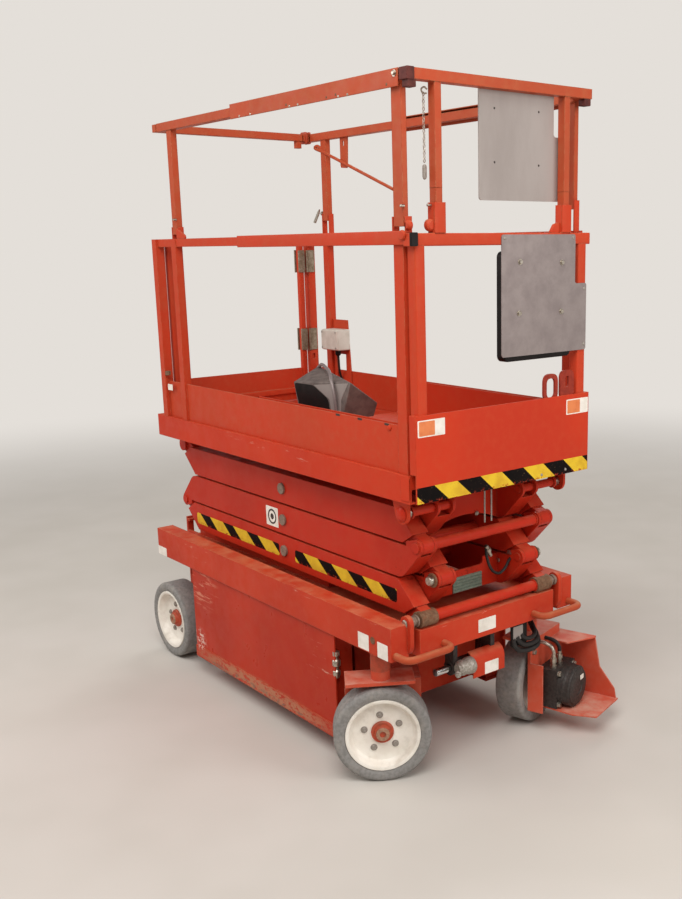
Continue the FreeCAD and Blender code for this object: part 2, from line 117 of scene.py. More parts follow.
def new_material(name):
    """Empty node material with a shader; gives the tree, the shader and the object coordinates."""
    mat = bpy.data.materials.new(name)
    mat.use_nodes = True
    tree = mat.node_tree
    tree.nodes.clear()
    shader = add(tree, "ShaderNodeBsdfPrincipled")
    add(tree, "ShaderNodeOutputMaterial", {"Surface": shader.outputs["BSDF"]})
    place = add(tree, "ShaderNodeTexCoord").outputs["Object"]
    return mat, tree, shader, place


def span(tree, value, lo, hi, a=0.0, b=1.0):
    """Value carried from lo..hi to a..b, held at the ends and smooth between."""
    return add(tree, "ShaderNodeMapRange", {"Value": value, "From Min": lo, "From Max": hi, "To Min": a, "To Max": b},
               interpolation_type="SMOOTHSTEP").outputs["Result"]


def calc(tree, op, a, b=0.0, c=0.0):
    """One step of arithmetic."""
    return add(tree, "ShaderNodeMath", {0: a, 1: b, 2: c}, operation=op).outputs["Value"]


def noise(tree, place, size, detail=3.0, stretch=(1, 1, 1), rough=0.55):
    """Noise whose features are about size millimetres, longer along an axis with a small stretch."""
    mapped = add(tree, "ShaderNodeMapping", {"Vector": place, "Scale": stretch}).outputs["Vector"]
    return add(tree, "ShaderNodeTexNoise", {"Vector": mapped, "Scale": 1000.0 / size, "Detail": detail,
                                            "Roughness": rough}).outputs["Fac"]


def blend(tree, amount, first, second):
    """Colour between two, by a mask."""
    return add(tree, "ShaderNodeMixRGB", {"Fac": amount, "Color1": first, "Color2": second}).outputs["Color"]


def spot(tree, place, centre, reach):
    """Mask that is 1 at a place on the machine and falls to 0 at an ellipsoid of the given reach, in millimetres."""
    c = [centre[0] / 1000, (centre[1] + CENTRE_Y) / 1000, centre[2] / 1000]
    off = add(tree, "ShaderNodeVectorMath", {0: place, 1: c}, operation="SUBTRACT").outputs["Vector"]
    part = add(tree, "ShaderNodeVectorMath", {0: off, 1: [r / 1000 for r in reach]}, operation="DIVIDE").outputs["Vector"]
    far = add(tree, "ShaderNodeVectorMath", {0: part}, operation="LENGTH").outputs["Value"]
    return span(tree, far, 0.35, 1.0, 1.0, 0.0)


def enamel(name, coat, shade, faded, worn, pale_top=0.5, wear=0.6, scuffs_and_shade=(), gloss=0.42):
    """Machine enamel sprayed on welded steel: soft tone changes, a paler tone on upward faces in patches, thin paint on
    edges, scrapes and chips, and given spots of another tone, among them painted shade.
    """
    mat, tree, shader, place = new_material(name)
    cloud = span(tree, noise(tree, place, 420, 2), 0.35, 0.65)
    colour = blend(tree, cloud, linear(coat), linear(shade))
    mottle = span(tree, noise(tree, place, 26, 6), 0.4, 0.75)
    colour = blend(tree, calc(tree, "MULTIPLY", mottle, 0.35), colour, linear(faded))
    normal = add(tree, "ShaderNodeNewGeometry").outputs["Normal"]
    lift = add(tree, "ShaderNodeSeparateXYZ", {"Vector": normal}).outputs["Z"]
    # a paler tone on upward faces, in patches
    top = calc(tree, "MULTIPLY", span(tree, lift, 0.4, 0.95), span(tree, noise(tree, place, 60, 5), 0.25, 0.8))
    colour = blend(tree, calc(tree, "MULTIPLY", top, pale_top), colour, linear(worn))
    # edges, found where a 4 mm round-over turns the surface away from its own face
    soft = add(tree, "ShaderNodeBevel", {"Radius": 0.004}, samples=4).outputs["Normal"]
    along = add(tree, "ShaderNodeVectorMath", {0: soft, 1: normal}, operation="DOT_PRODUCT").outputs["Value"]
    edge = span(tree, along, 0.985, 0.80)
    rubbed = calc(tree, "MULTIPLY", edge, span(tree, noise(tree, place, 34, 7, rough=0.7), 0.42, 0.62))
    colour = blend(tree, calc(tree, "MULTIPLY", rubbed, wear), colour, linear(worn))
    # thin scrapes, about 1.5 mm wide and drawn out along the machine
    streak = noise(tree, place, 9, 4, (0.09, 1, 1), 0.7)
    patch = span(tree, noise(tree, place, 160, 3), 0.55, 0.7)
    scrape = calc(tree, "MULTIPLY", span(tree, streak, 0.66, 0.72), patch)
    colour = blend(tree, calc(tree, "MULTIPLY", scrape, 0.55), colour, linear(worn))
    rough = span(tree, noise(tree, place, 55, 5), 0.3, 0.7, gloss - 0.06, gloss + 0.14)
    # Given spots mix in their own tone; the arms' dark spot among them is painted shade.
    for centre, reach, tone, stretch, low in scuffs_and_shade:
        grain = noise(tree, place, 14, 6, stretch, 0.72)
        mask = calc(tree, "MULTIPLY", spot(tree, place, centre, reach), span(tree, grain, low, low + 0.07))
        colour = blend(tree, calc(tree, "MULTIPLY", mask, 0.8), colour, linear(tone))
        rough = add(tree, "ShaderNodeMix", {0: mask, 2: rough, 3: 0.7}).outputs[0]
    tree.links.new(colour, shader.inputs["Base Color"])
    tree.links.new(rough, shader.inputs["Roughness"])
    shader.inputs["Specular IOR Level"].default_value = 0.12
    # spray texture, features of about 3 mm
    skin = noise(tree, place, 3, 2)
    bump = add(tree, "ShaderNodeBump", {"Strength": 0.05, "Distance": 0.001, "Height": skin, "Normal": soft})
    tree.links.new(bump.outputs["Normal"], shader.inputs["Normal"])
    return mat


def metal(name, bright, dull, rough=(0.35, 0.6), stretch=(1, 1, 1), size=18, metallic=1.0, rust=None, rust_low=0.6, bump=0.1):
    """Bare or plated steel: two tones mixed by a grain, and brown rust in patches where it is given."""
    mat, tree, shader, place = new_material(name)
    grain = noise(tree, place, size, 6, stretch, 0.65)
    colour = blend(tree, span(tree, grain, 0.3, 0.7), linear(bright), linear(dull))
    shine = span(tree, grain, 0.3, 0.7, *rough)
    solid = metallic
    if rust:
        patch = span(tree, noise(tree, place, 22, 7, rough=0.7), rust_low, rust_low + 0.12)
        colour = blend(tree, patch, colour, linear(rust))
        shine = add(tree, "ShaderNodeMix", {0: patch, 2: shine, 3: 0.85}).outputs[0]
        solid = span(tree, patch, 0.0, 1.0, metallic, 0.0)
        tree.links.new(solid, shader.inputs["Metallic"])
    else:
        shader.inputs["Metallic"].default_value = metallic
    tree.links.new(colour, shader.inputs["Base Color"])
    tree.links.new(shine, shader.inputs["Roughness"])
    rise = add(tree, "ShaderNodeBump", {"Strength": bump, "Distance": 0.001, "Height": grain})
    tree.links.new(rise.outputs["Normal"], shader.inputs["Normal"])
    return mat


def plain(name, main, other, rough=0.6, size=20, detail=5, dirt=None, dirt_share=0.5, bump=0.08, spread=0.12, shine=0.4):
    """Paint, rubber, plastic or vinyl: two near tones by a mottle, with dirt over it in soft patches."""
    mat, tree, shader, place = new_material(name)
    mottle = noise(tree, place, size, detail)
    colour = blend(tree, span(tree, mottle, 0.35, 0.7), linear(main), linear(other))
    if dirt:
        film = span(tree, noise(tree, place, 70, 6, rough=0.68), 0.48, 0.72)
        colour = blend(tree, calc(tree, "MULTIPLY", film, dirt_share), colour, linear(dirt))
    tree.links.new(colour, shader.inputs["Base Color"])
    tree.links.new(span(tree, mottle, 0.3, 0.7, rough, rough + spread), shader.inputs["Roughness"])
    shader.inputs["Specular IOR Level"].default_value = shine
    rise = add(tree, "ShaderNodeBump", {"Strength": bump, "Distance": 0.001, "Height": mottle})
    tree.links.new(rise.outputs["Normal"], shader.inputs["Normal"])
    return mat


SCRATCH_X = (0.12, 1, 1)
SCRATCH_Z = (1, 1, 0.15)
PALE, BARE, RUSTY = "#dfae98", "#b9a79a", "#8a5138"

# Orange enamel of the platform's sides and front panel, least worn
deck_paint = enamel("orange_enamel_on_deck", "#c6391e", "#bd351e", "#bf4628", "#c8704e", pale_top=0.35, wear=0.4, scuffs_and_shade=(
    ((907, -180, 975), (40, 200, 26), "#5a1d12", (1, 1, 1), 0.5),
    ((200, -371, 1050), (500, 20, 40), PALE, SCRATCH_X, 0.6)))
# The same enamel on the rails, bleached and rubbed by hands and straps
rail_paint = enamel("orange_enamel_on_rails", "#c23d22", "#ba3f24", "#b85234", "#c07a5a", pale_top=0.7, wear=0.75, gloss=0.42)
top_paint = enamel("bleached_enamel_on_top_rails", "#b44a2c", "#ab4a2e", "#ad6240", "#bb8360", pale_top=0.75, wear=0.85, gloss=0.46)
# Enamel of the arms: deeper, with a dark spot of painted shade over their inner front
arm_paint = enamel("orange_enamel_on_arms", "#bf2e1a", "#b32a18", "#b53d25", "#c06c4e", pale_top=0.4, wear=0.45, gloss=0.34, scuffs_and_shade=(
    # painted shade: a dark spot over the inner front of the arms
    ((700, -100, 700), (120, 300, 120), "#7a2114", (1, 1, 1), 0.55),))
# Enamel of the chassis ledges and trays: scraped by loading and by kerbs
chassis_paint = enamel("orange_enamel_on_chassis", "#c43d24", "#b93721", "#bd4d31", "#cb7f5e", pale_top=0.75, wear=0.7, scuffs_and_shade=(
    ((-480, -400, 540), (220, 60, 60), "#d59078", SCRATCH_X, 0.6),
    ((340, -400, 570), (160, 60, 22), "#e2bda8", SCRATCH_X, 0.6),
    ((730, -400, 560), (110, 60, 30), "#dca58c", SCRATCH_X, 0.6),
    ((760, -300, 571), (80, 120, 30), RUSTY, (1, 1, 1), 0.6),
    ((820, -120, 542), (30, 300, 12), PALE, (1, 0.2, 1), 0.6)))
tray_paint = enamel("orange_enamel_on_trays", "#bd341d", "#b02e1a", "#b34428", "#c47a58", pale_top=0.3, wear=0.6, gloss=0.33, scuffs_and_shade=(
    ((-470, -396, 400), (170, 40, 130), "#d78d75", SCRATCH_X, 0.53),
    ((-500, -396, 160), (60, 40, 60), "#ead2c4", (1, 1, 1), 0.5),
    ((-30, -399, 104), (700, 30, 40), "#b98466", (0.5, 1, 1), 0.42),
    ((-30, -399, 90), (640, 30, 18), "#7f6a5c", (0.6, 1, 1), 0.5),
    ((380, -396, 330), (120, 30, 90), PALE, SCRATCH_X, 0.6)))
guard_paint = enamel("orange_enamel_on_wheel_guards", "#d25a42", "#c64e36", "#c9705a", "#d8a692", pale_top=0.75, wear=0.8, scuffs_and_shade=(
    ((760, 330, 60), (200, 200, 30), "#d9c8bc", (1, 1, 1), 0.52),
    ((870, 420, 60), (200, 160, 40), "#cf9c88", (1, 1, 1), 0.45)))


def tread_plate():
    """Painted steel tread plate: lozenges 26 mm long and 34 mm apart, turned a quarter from one to the next."""
    mat = enamel("orange_enamel_on_tread_plate", "#bb3a20", "#ad341d", "#b4492e", "#bf6b4a", pale_top=0.5, wear=0.5, gloss=0.42)
    tree = mat.node_tree
    shader = next(n for n in tree.nodes if n.type == "BSDF_PRINCIPLED")
    place = add(tree, "ShaderNodeTexCoord").outputs["Object"]
    rise = None
    for turn, shift in ((45, (0, 0, 0)), (-45, (0.024, 0, 0))):
        cell = add(tree, "ShaderNodeMapping", {"Vector": place, "Location": shift, "Rotation": (0, 0, math.radians(turn)),
                                               "Scale": (1 / 0.034,) * 3}).outputs["Vector"]
        part = add(tree, "ShaderNodeVectorMath", {0: cell}, operation="FRACTION").outputs["Vector"]
        mid = add(tree, "ShaderNodeVectorMath", {0: part, 1: (0.5, 0.5, 0.5)}, operation="SUBTRACT").outputs["Vector"]
        axes = add(tree, "ShaderNodeSeparateXYZ", {"Vector": mid})
        long = calc(tree, "MULTIPLY", axes.outputs["X"], 2.4)
        wide = calc(tree, "MULTIPLY", axes.outputs["Y"], 7.5)
        r = calc(tree, "ADD", calc(tree, "MULTIPLY", long, long), calc(tree, "MULTIPLY", wide, wide))
        one = span(tree, r, 1.0, 0.35)
        rise = one if rise is None else calc(tree, "MAXIMUM", rise, one)
    old = shader.inputs["Normal"].links[0].from_socket
    bump = add(tree, "ShaderNodeBump", {"Strength": 0.9, "Distance": 0.0018, "Height": rise, "Normal": old})
    tree.links.new(bump.outputs["Normal"], shader.inputs["Normal"])
    worn = blend(tree, calc(tree, "MULTIPLY", rise, 0.45), shader.inputs["Base Color"].links[0].from_socket, linear("#cf8a68"))
    tree.links.new(worn, shader.inputs["Base Color"])
    return mat


floor_paint = tread_plate()
# Hot-dip galvanised plate, mill grey with rub marks
plate_metal = metal("galvanised_plate", "#978b88", "#8a7e7c", (0.45, 0.62), size=70, metallic=0.55, bump=0.03)
# Mill-finish aluminium sheet, pale and matt
sheet_metal = metal("mill_aluminium_sheet", "#a39994", "#9a908b", (0.5, 0.62), (1, 1, 0.3), 160, metallic=0.45, bump=0.02)
zinc = metal("zinc_plated_steel", "#c9c1b4", "#9b9184", (0.3, 0.5), size=9, rust="#7b5a41", rust_low=0.68)
hinge_steel = metal("oiled_hinge_steel", "#a39684", "#85765f", (0.45, 0.65), size=14, metallic=0.7, rust="#7c5438", rust_low=0.6)
pin_steel = metal("worn_pin_steel", "#9b8474", "#7d675a", (0.5, 0.72), size=8, metallic=0.35, rust="#8a5a40", rust_low=0.58, bump=0.15)
rusted = metal("rusted_bushing_steel", "#8b6a50", "#6f4f3a", (0.6, 0.85), size=12, metallic=0.45, rust="#7a4a30", rust_low=0.5, bump=0.3)
chrome = metal("chromed_rod", "#e2e2e0", "#cfcfcc", (0.08, 0.18), size=60, bump=0.01)
bolt_grey = metal("dull_grey_bolt_steel", "#a49c94", "#8d857c", (0.55, 0.75), size=6, metallic=0.35, bump=0.15)
cast = metal("cast_iron_with_dark_paint", "#3d3531", "#2c2522", (0.5, 0.7), size=10, metallic=0.1, bump=0.35)
# Solid non-marking rubber, grey, dusty and nicked at the shoulder
rubber = plain("grey_non_marking_rubber", "#8d8a87", "#7b7875", 0.78, 12, 7, "#a39b92", 0.55, 0.5)
rim_paint = plain("white_enamel_on_rims", "#f1ebe1", "#e6ded2", 0.36, 60, 4, "#a99a8a", 0.35, 0.04)
hub_paint = plain("worn_orange_hub", "#bd4a2e", "#a9492f", 0.5, 14, 6, "#7d4b39", 0.6, 0.3)
abs_black = plain("black_moulded_abs", "#191413", "#120e0d", 0.42, 40, 4, "#2e2623", 0.3, 0.05, shine=0.15)
hose_rubber = plain("black_hose_rubber", "#211c1a", "#171312", 0.5, 8, 5, "#4a3f38", 0.35, 0.2)
grey_box = plain("grey_abs_box", "#cfc8bd", "#c0b8ac", 0.45, 40, 4, "#9a8f82", 0.3, 0.04)
vinyl = plain("white_vinyl_label", "#efe8df", "#e2dacf", 0.4, 30, 4, "#b7aa9a", 0.3, 0.02)
vinyl_orange = plain("orange_vinyl_label", "#e0814a", "#d6733f", 0.4, 30, 4, "#a86743", 0.3, 0.02)
vinyl_dark = plain("dark_vinyl_print", "#3a2a26", "#2c201d", 0.45, 30, 4)
plate_print = plain("etched_grey_green_plate", "#7f8b7c", "#6c7869", 0.4, 10, 5, "#4d554b", 0.5, 0.1)
pack_paint = plain("dark_painted_steel_cover", "#3a302c", "#2d2522", 0.6, 30, 5, "#5d4c42", 0.4, 0.1)
axle_steel = metal("dusty_axle_end", "#b1866a", "#8f6a55", (0.6, 0.8), size=8, metallic=0.1, bump=0.2)
worn_red = plain("worn_dark_red_enamel", "#96301f", "#842a1c", 0.5, 20, 5, "#a8553c", 0.4, 0.08, shine=0.2)
# Dark red painted shade, for the tray packs' shaded ends and the front corner's cap and brackets
shade_dark_red = plain("dark_red_painted_shade", "#5b1d14", "#451712", 0.6, 30, 5, "#6d3a2c", 0.4, 0.1)
panel_grey = plain("dusty_dark_grey_panel", "#6b5f5a", "#574c48", 0.5, 26, 5, "#86786f", 0.4, 0.08)
cast_alu = metal("sand_cast_aluminium", "#b9b2a8", "#8f877c", (0.5, 0.7), size=7, metallic=0.6, bump=0.25)


def hazard(name, pitch, lean, offset, share):
    """Black and yellow tape: a pair of stripes each pitch metres, leaning lean along per metre up, scuffed at its lower edge."""
    mat, tree, shader, place = new_material(name)
    uv = add(tree, "ShaderNodeSeparateXYZ", {"Vector": add(tree, "ShaderNodeUVMap", uv_map="metres").outputs["UV"]})
    along = calc(tree, "MULTIPLY_ADD", uv.outputs["Y"], lean, uv.outputs["X"])
    part = calc(tree, "FRACT", calc(tree, "MULTIPLY_ADD", along, 1 / pitch, offset))
    edge = span(tree, part, share - 0.006, share + 0.006)
    black = blend(tree, span(tree, noise(tree, place, 40, 5), 0.4, 0.7), linear("#080303"), linear("#110706"))
    yellow = blend(tree, span(tree, noise(tree, place, 60, 5), 0.4, 0.7), linear("#e3bd32"), linear("#d0a42c"))
    colour = blend(tree, edge, yellow, black)
    rim = span(tree, uv.outputs["Y"], 0.013, 0.001)
    chip = calc(tree, "MULTIPLY", rim, span(tree, noise(tree, place, 12, 7, rough=0.75), 0.54, 0.58))
    colour = blend(tree, chip, colour, linear("#a8371f"))
    dots = calc(tree, "MULTIPLY", span(tree, noise(tree, place, 5, 3), 0.68, 0.72), 0.7)
    colour = blend(tree, dots, colour, linear("#8a6a4a"))
    tree.links.new(colour, shader.inputs["Base Color"])
    shader.inputs["Roughness"].default_value = 0.55
    shader.inputs["Specular IOR Level"].default_value = 0.1
    return mat


def framed(points):
    """Millimetres from the machine's middle plane, rear to front and up, to metres in the frame."""
    return (np.asarray(points, float) + (0.0, CENTRE_Y, 0.0)) / 1000.0


def weave(rows, cols, round_rows=False, round_cols=False):
    """Quads between neighbours of a rows by cols grid of points, closed round on either side if asked."""
    i = np.arange(rows if round_rows else rows - 1)[:, None]
    j = np.arange(cols if round_cols else cols - 1)[None, :]
    i1, j1 = (i + 1) % rows, (j + 1) % cols
    return np.stack([i * cols + j, i1 * cols + j, i1 * cols + j1, i * cols + j1], -1).reshape(-1, 4)


def joined(parts):
    """Several (points, faces) as one, each part's face numbers moved up by the points before it."""
    points, faces, base = [], [], 0
    for p, f in parts:
        p = np.asarray(p, float).reshape(-1, 3)
        points.append(p)
        faces.append(f + base)
        base += len(p)
    return np.concatenate(points), np.concatenate(faces)


def make(name, parts, body, material, uv=None, sharp=32, bevel=0.0, merge=0.00005):
    """One piece from surfaces in millimetres: doubles merged, faces turned outward, and smooth up to the sharp angle."""
    points, faces = joined(parts if isinstance(parts, list) else [parts])
    mesh = bpy.data.meshes.new(name)
    mesh.from_pydata(framed(points).tolist(), [], faces.tolist())
    if uv is not None:
        layer = mesh.uv_layers.new(name="metres")
        index = np.zeros(len(mesh.loops), np.int32)
        mesh.loops.foreach_get("vertex_index", index)
        layer.data.foreach_set("uv", np.asarray(uv, np.float32)[index].ravel())
    work = bmesh.new()
    work.from_mesh(mesh)
    bmesh.ops.remove_doubles(work, verts=work.verts, dist=merge)
    bmesh.ops.dissolve_degenerate(work, edges=work.edges, dist=merge / 4)
    bmesh.ops.recalc_face_normals(work, faces=work.faces)
    work.to_mesh(mesh)
    work.free()
    mesh.shade_smooth()
    mesh.set_sharp_from_angle(angle=math.radians(sharp))
    mesh.materials.append(material)
    obj = bpy.data.objects.new(name, mesh)
    bpy.context.scene.collection.objects.link(obj)
    if bevel:
        mod = obj.modifiers.new("round_over", "BEVEL")
        mod.width, mod.segments, mod.limit_method = bevel / 1000, 2, "ANGLE"
    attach(obj, body)
    return obj


def axes_of(axis):
    """Two unit vectors square to an axis."""
    a = np.asarray(axis, float) / np.linalg.norm(axis)
    ref = np.array([0.0, 0, 1]) if abs(a[2]) < 0.9 else np.array([1.0, 0, 0])
    e1 = np.cross(ref, a)
    e1 /= np.linalg.norm(e1)
    return a, e1, np.cross(a, e1)


def turned(centre, axis, profile, steps=40, lobes=0):
    """Profile (h, r) carried round an axis: p = c + h a + r k(u)(cos u e1 + sin u e2); k is 1, or 1/cos of the angle from the
    nearest flat for a nut with that many lobes."""
    a, e1, e2 = axes_of(axis)
    u = np.arange(steps) * 2 * np.pi / steps
    k = np.ones(steps)
    if lobes:
        w = np.pi / lobes
        k = 1 / np.cos((u + w) % (2 * w) - w)
    h, r = np.asarray(profile, float).T
    ring = (np.cos(u)[None, :, None] * e1 + np.sin(u)[None, :, None] * e2) * (r[:, None, None] * k[None, :, None])
    grid = np.asarray(centre, float) + h[:, None, None] * a + ring
    return grid.reshape(-1, 3), weave(len(h), steps, False, True)


def curve(points, steps=12):
    """Centripetal-like Catmull-Rom curve through the points, steps to each run: the cubic with end slopes (p[i+1] - p[i-1])/2."""
    p = np.asarray(points, float)
    q = np.vstack([2 * p[0] - p[1], p, 2 * p[-1] - p[-2]])
    t = np.linspace(0, 1, steps, endpoint=False)[None, :, None]
    a, b, c, d = q[:-3, None], q[1:-2, None], q[2:-1, None], q[3:, None]
    run = 0.5 * (2 * b + (c - a) * t + (2 * a - 5 * b + 4 * c - d) * t ** 2 + (3 * b - a - 3 * c + d) * t ** 3)
    return np.vstack([run.reshape(-1, 3), p[-1:]])


def pipe(path, radius, steps=16, side=None, closed=True):
    """Circle carried along a path: p = c(s) + r(s)(cos u n + sin u b), with n and b square to the path's own direction."""
    c = np.asarray(path, float)
    t = np.gradient(c, axis=0)
    t /= np.linalg.norm(t, axis=1)[:, None]
    ref = np.array(side if side else (0.17, 0.31, 0.94), float)
    n = np.cross(t, ref)
    n /= np.linalg.norm(n, axis=1)[:, None]
    b = np.cross(t, n)
    r = np.broadcast_to(np.asarray(radius, float), (len(c),))
    if closed:
        c, n, b = (np.vstack([x[:1], x, x[-1:]]) for x in (c, n, b))
        r = np.concatenate([[0], r, [0]])
    u = np.arange(steps) * 2 * np.pi / steps
    grid = c[:, None] + r[:, None, None] * (np.cos(u)[None, :, None] * n[:, None] + np.sin(u)[None, :, None] * b[:, None])
    return grid.reshape(-1, 3), weave(len(c), steps, False, True)


def rounded(w, h, r, steps=6):
    """Outline of a w by h rectangle about zero whose corners are quarter circles of radius r, as (x, y) points."""
    a = np.linspace(0, np.pi / 2, steps)
    arcs = []
    for k, (sx, sy) in enumerate(((1, 1), (-1, 1), (-1, -1), (1, -1))):
        turn = a + k * np.pi / 2
        arcs.append(np.stack([sx * (w / 2 - r) + r * np.cos(turn), sy * (h / 2 - r) + r * np.sin(turn)], -1))
    return np.concatenate(arcs)


def panel(centre, across, up, w, h, thick, r=3.0, soft=0.0):
    """Flat plate with rounded corners: its outline at rings k of depth d and inset i, p = c + (1 - i)outline + d n, from the
    middle of the front to the middle of the back, the first rings drawn in by the soft edge."""
    x, y = (np.asarray(v, float) / np.linalg.norm(v) for v in (across, up))
    n = np.cross(x, y)
    line = rounded(w, h, r)
    inner = rounded(w - 2 * soft, h - 2 * soft, max(r - soft, 0.1)) if soft else line
    rings = [(inner * 0, 0), (inner, 0), (line, -soft), (line, -thick), (line * 0, -thick)]
    grid = [np.asarray(centre, float) + o[:, :1] * x + o[:, 1:] * y + d * n for o, d in rings]
    return np.concatenate(grid), weave(len(rings), len(line), False, True)


def tape(name, centre, across, up, w, h, body, material, r=2.0):
    """Thin sticker with its own map in metres, u along it and v up from its lower edge."""
    surface = panel(centre, across, up, w, h, 0.8, r)
    off = surface[0] - np.asarray(centre, float)
    uv = np.stack([off @ np.asarray(across, float) + w / 2, off @ np.asarray(up, float) + h / 2], -1) / 1000.0
    return make(name, surface, body, material, uv=uv)


def tube(x0, x1, y0, y1, z0, z1, r=4.0):
    """Square tube or flat bar: a section with rounded corners carried along its longest side."""
    lo, hi = np.array([x0, y0, z0], float), np.array([x1, y1, z1], float)
    size = hi - lo
    k = int(np.argmax(size))
    axes = np.roll(np.eye(3), -k, 0)
    end = (lo + hi) / 2 + axes[0] * size[k] / 2
    return panel(end, axes[1], axes[2], size[(k + 1) % 3], size[(k + 2) % 3], size[k], r)


def softened(corners, r, steps=5):
    """Closed outline whose corners are cut by r along each side and rounded: b(t) = (1-t)^2 a + 2t(1-t) c + t^2 d."""
    c = np.asarray(corners, float)
    before, after = np.roll(c, 1, 0) - c, np.roll(c, -1, 0) - c
    a = c + before * (r / np.linalg.norm(before, axis=1))[:, None]
    d = c + after * (r / np.linalg.norm(after, axis=1))[:, None]
    t = np.linspace(0, 1, steps)[None, :, None]
    return ((1 - t) ** 2 * a[:, None] + 2 * t * (1 - t) * c[:, None] + t ** 2 * d[:, None]).reshape(-1, 2)


def plate(origin, across, up, corners, thick, r=4.0, soft=0.8):
    """Plate of any compact outline: rings of it shrunk towards its middle by the soft edge, from front to back."""
    x, y = np.asarray(across, float), np.asarray(up, float)
    n = np.cross(x, y)
    line = softened(corners, r)
    mid = line.mean(0)
    small = mid + (line - mid) * (1 - soft / np.linalg.norm(line - mid, axis=1).max())
    rings = [(line * 0 + mid, 0), (small, 0), (line, -soft), (line, -thick), (line * 0 + mid, -thick)]
    grid = [np.asarray(origin, float) + o[:, :1] * x + o[:, 1:] * y + d * n for o, d in rings]
    return np.concatenate(grid), weave(len(rings), len(line), False, True)


def window(origin, across, up, corners, thick, hole, r=6.0):
    """Plate with one opening: p = (1 - t) inner(u) + t outer(u) on its front and back, t and u over a closed grid; the hole is
    its middle, width, height and corner radius."""
    x, y = np.asarray(across, float), np.asarray(up, float)
    n = np.cross(x, y)
    cx, cy, w, h, cr = hole
    a = np.linspace(0, 2 * np.pi, 96, endpoint=False)

    def reach(line):
        """Distance to a closed outline from the hole's middle, in each direction; its straight runs are divided first."""
        t = np.linspace(0, 1, 16, endpoint=False)[None, :, None]
        off = (line[:, None] * (1 - t) + np.roll(line, -1, 0)[:, None] * t).reshape(-1, 2) - (cx, cy)
        angle = np.arctan2(off[:, 1], off[:, 0]) % (2 * np.pi)
        order = np.argsort(angle)
        return np.interp(a, angle[order], np.linalg.norm(off, axis=1)[order], period=2 * np.pi)

    inner = reach(softened([(cx - w / 2, cy - h / 2), (cx + w / 2, cy - h / 2), (cx + w / 2, cy + h / 2),
                            (cx - w / 2, cy + h / 2)], cr, 9))
    outer = reach(softened(corners, r, 9))
    ray = np.cos(a)[:, None] * x + np.sin(a)[:, None] * y
    mid = np.asarray(origin, float) + cx * x + cy * y
    rings = [mid + inner[:, None] * ray, mid + outer[:, None] * ray, mid + outer[:, None] * ray - thick * n,
             mid + inner[:, None] * ray - thick * n]
    return np.concatenate(rings), weave(4, len(a), True, True)


def bolt_head(centre, axis, across=17.0, high=8.0, washer=1.25):
    """Hexagon head with a chamfered top on a round washer."""
    r = across / 2
    head = [(0, 0), (0, r), (high * 0.78, r), (high, r * 0.86), (high + 0.01, 0)]
    ring = [(0, 0), (0, r * washer), (1.8, r * washer), (2.2, r * washer - 0.6), (2.2, 0)]
    c = np.asarray(centre, float)
    a = np.asarray(axis, float) / np.linalg.norm(axis)
    return [turned(c, axis, ring, 28), turned(c + 2.0 * a, axis, head, 36, 6)]


def round_head(centre, axis, r=9.0, high=5.0):
    """Low domed head: r(t) and h(t) on a quarter ellipse."""
    t = np.linspace(0, np.pi / 2, 8)
    dome = np.stack([high * np.sin(t), r * np.cos(t)], -1)
    return turned(centre, axis, np.vstack([[(0, 0)], dome]), 28)


def weld(path, r=3.5, seed=1):
    """Bead of weld: a tube whose radius ripples with the passes, r(s) = r(1 + 0.12 sin 2 pi s/4 mm)."""
    p = np.asarray(path, float)
    length = np.concatenate([[0], np.cumsum(np.linalg.norm(np.diff(p, axis=0), axis=1))])
    s = np.arange(0, length[-1], 1.6)
    c = np.stack([np.interp(s, length, p[:, k]) for k in range(3)], -1)
    return pipe(c, r * (1 + 0.12 * np.sin(2 * np.pi * s / 4.3 + seed)), 8)



FINISH = {
    deck_paint: ("main_deck", "rollout_deck"),
    rail_paint: ("right_main_rails", "left_main_rails", "rollout_rails", "rear_gate", "outlet_hoop"),
    top_paint: ("right_upper_guard", "left_upper_guard", "front_upper_guard", "right_top_channel", "left_top_channel",
                "rear_top_bar", "tie_down_loops"),
    arm_paint: ("lower_outer_arms", "lower_inner_arms", "middle_outer_arms", "middle_inner_arms", "upper_outer_arms",
                "upper_inner_arms", "platform_pins"),
    chassis_paint: ("chassis_frame", "front_beam", "rear_ladder", "steering_cover"),
    tray_paint: ("right_tray", "left_tray"),
    guard_paint: ("right_knuckle", "left_knuckle"),
    plate_metal: ("backing_plate",),
    sheet_metal: ("sheet_panel",),
    zinc: ("lift_base_pin",),
    pin_steel: ("base_pins",),
    hinge_steel: ("gate_hinges",),
    chrome: ("lift_rod", "steering_rod"),
    cast: ("lift_barrel", "steering_barrel", "right_drive_motor", "left_drive_motor"),
    rubber: ("front_right_tyre", "front_left_tyre", "rear_right_tyre", "rear_left_tyre"),
    rim_paint: ("front_right_rim", "front_left_rim", "rear_right_rim", "rear_left_rim"),
    abs_black: ("document_box", "control_box", "control_bracket"),
    grey_box: ("outlet_box",),
    plate_print: ("id_plate",),
    pack_paint: ("hydraulic_block", "battery_block"),
    # the tray packs take the dark red painted shade
    shade_dark_red: ("right_tray_pack", "left_tray_pack"),
}
for material, names in FINISH.items():
    for name in names:
        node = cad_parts[name]
        node.data.materials.clear()
        node.data.materials.append(material)
left_out = sorted(set(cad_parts) - {n for names in FINISH.values() for n in names})
if left_out:
    raise RuntimeError("no finish for " + ", ".join(left_out))



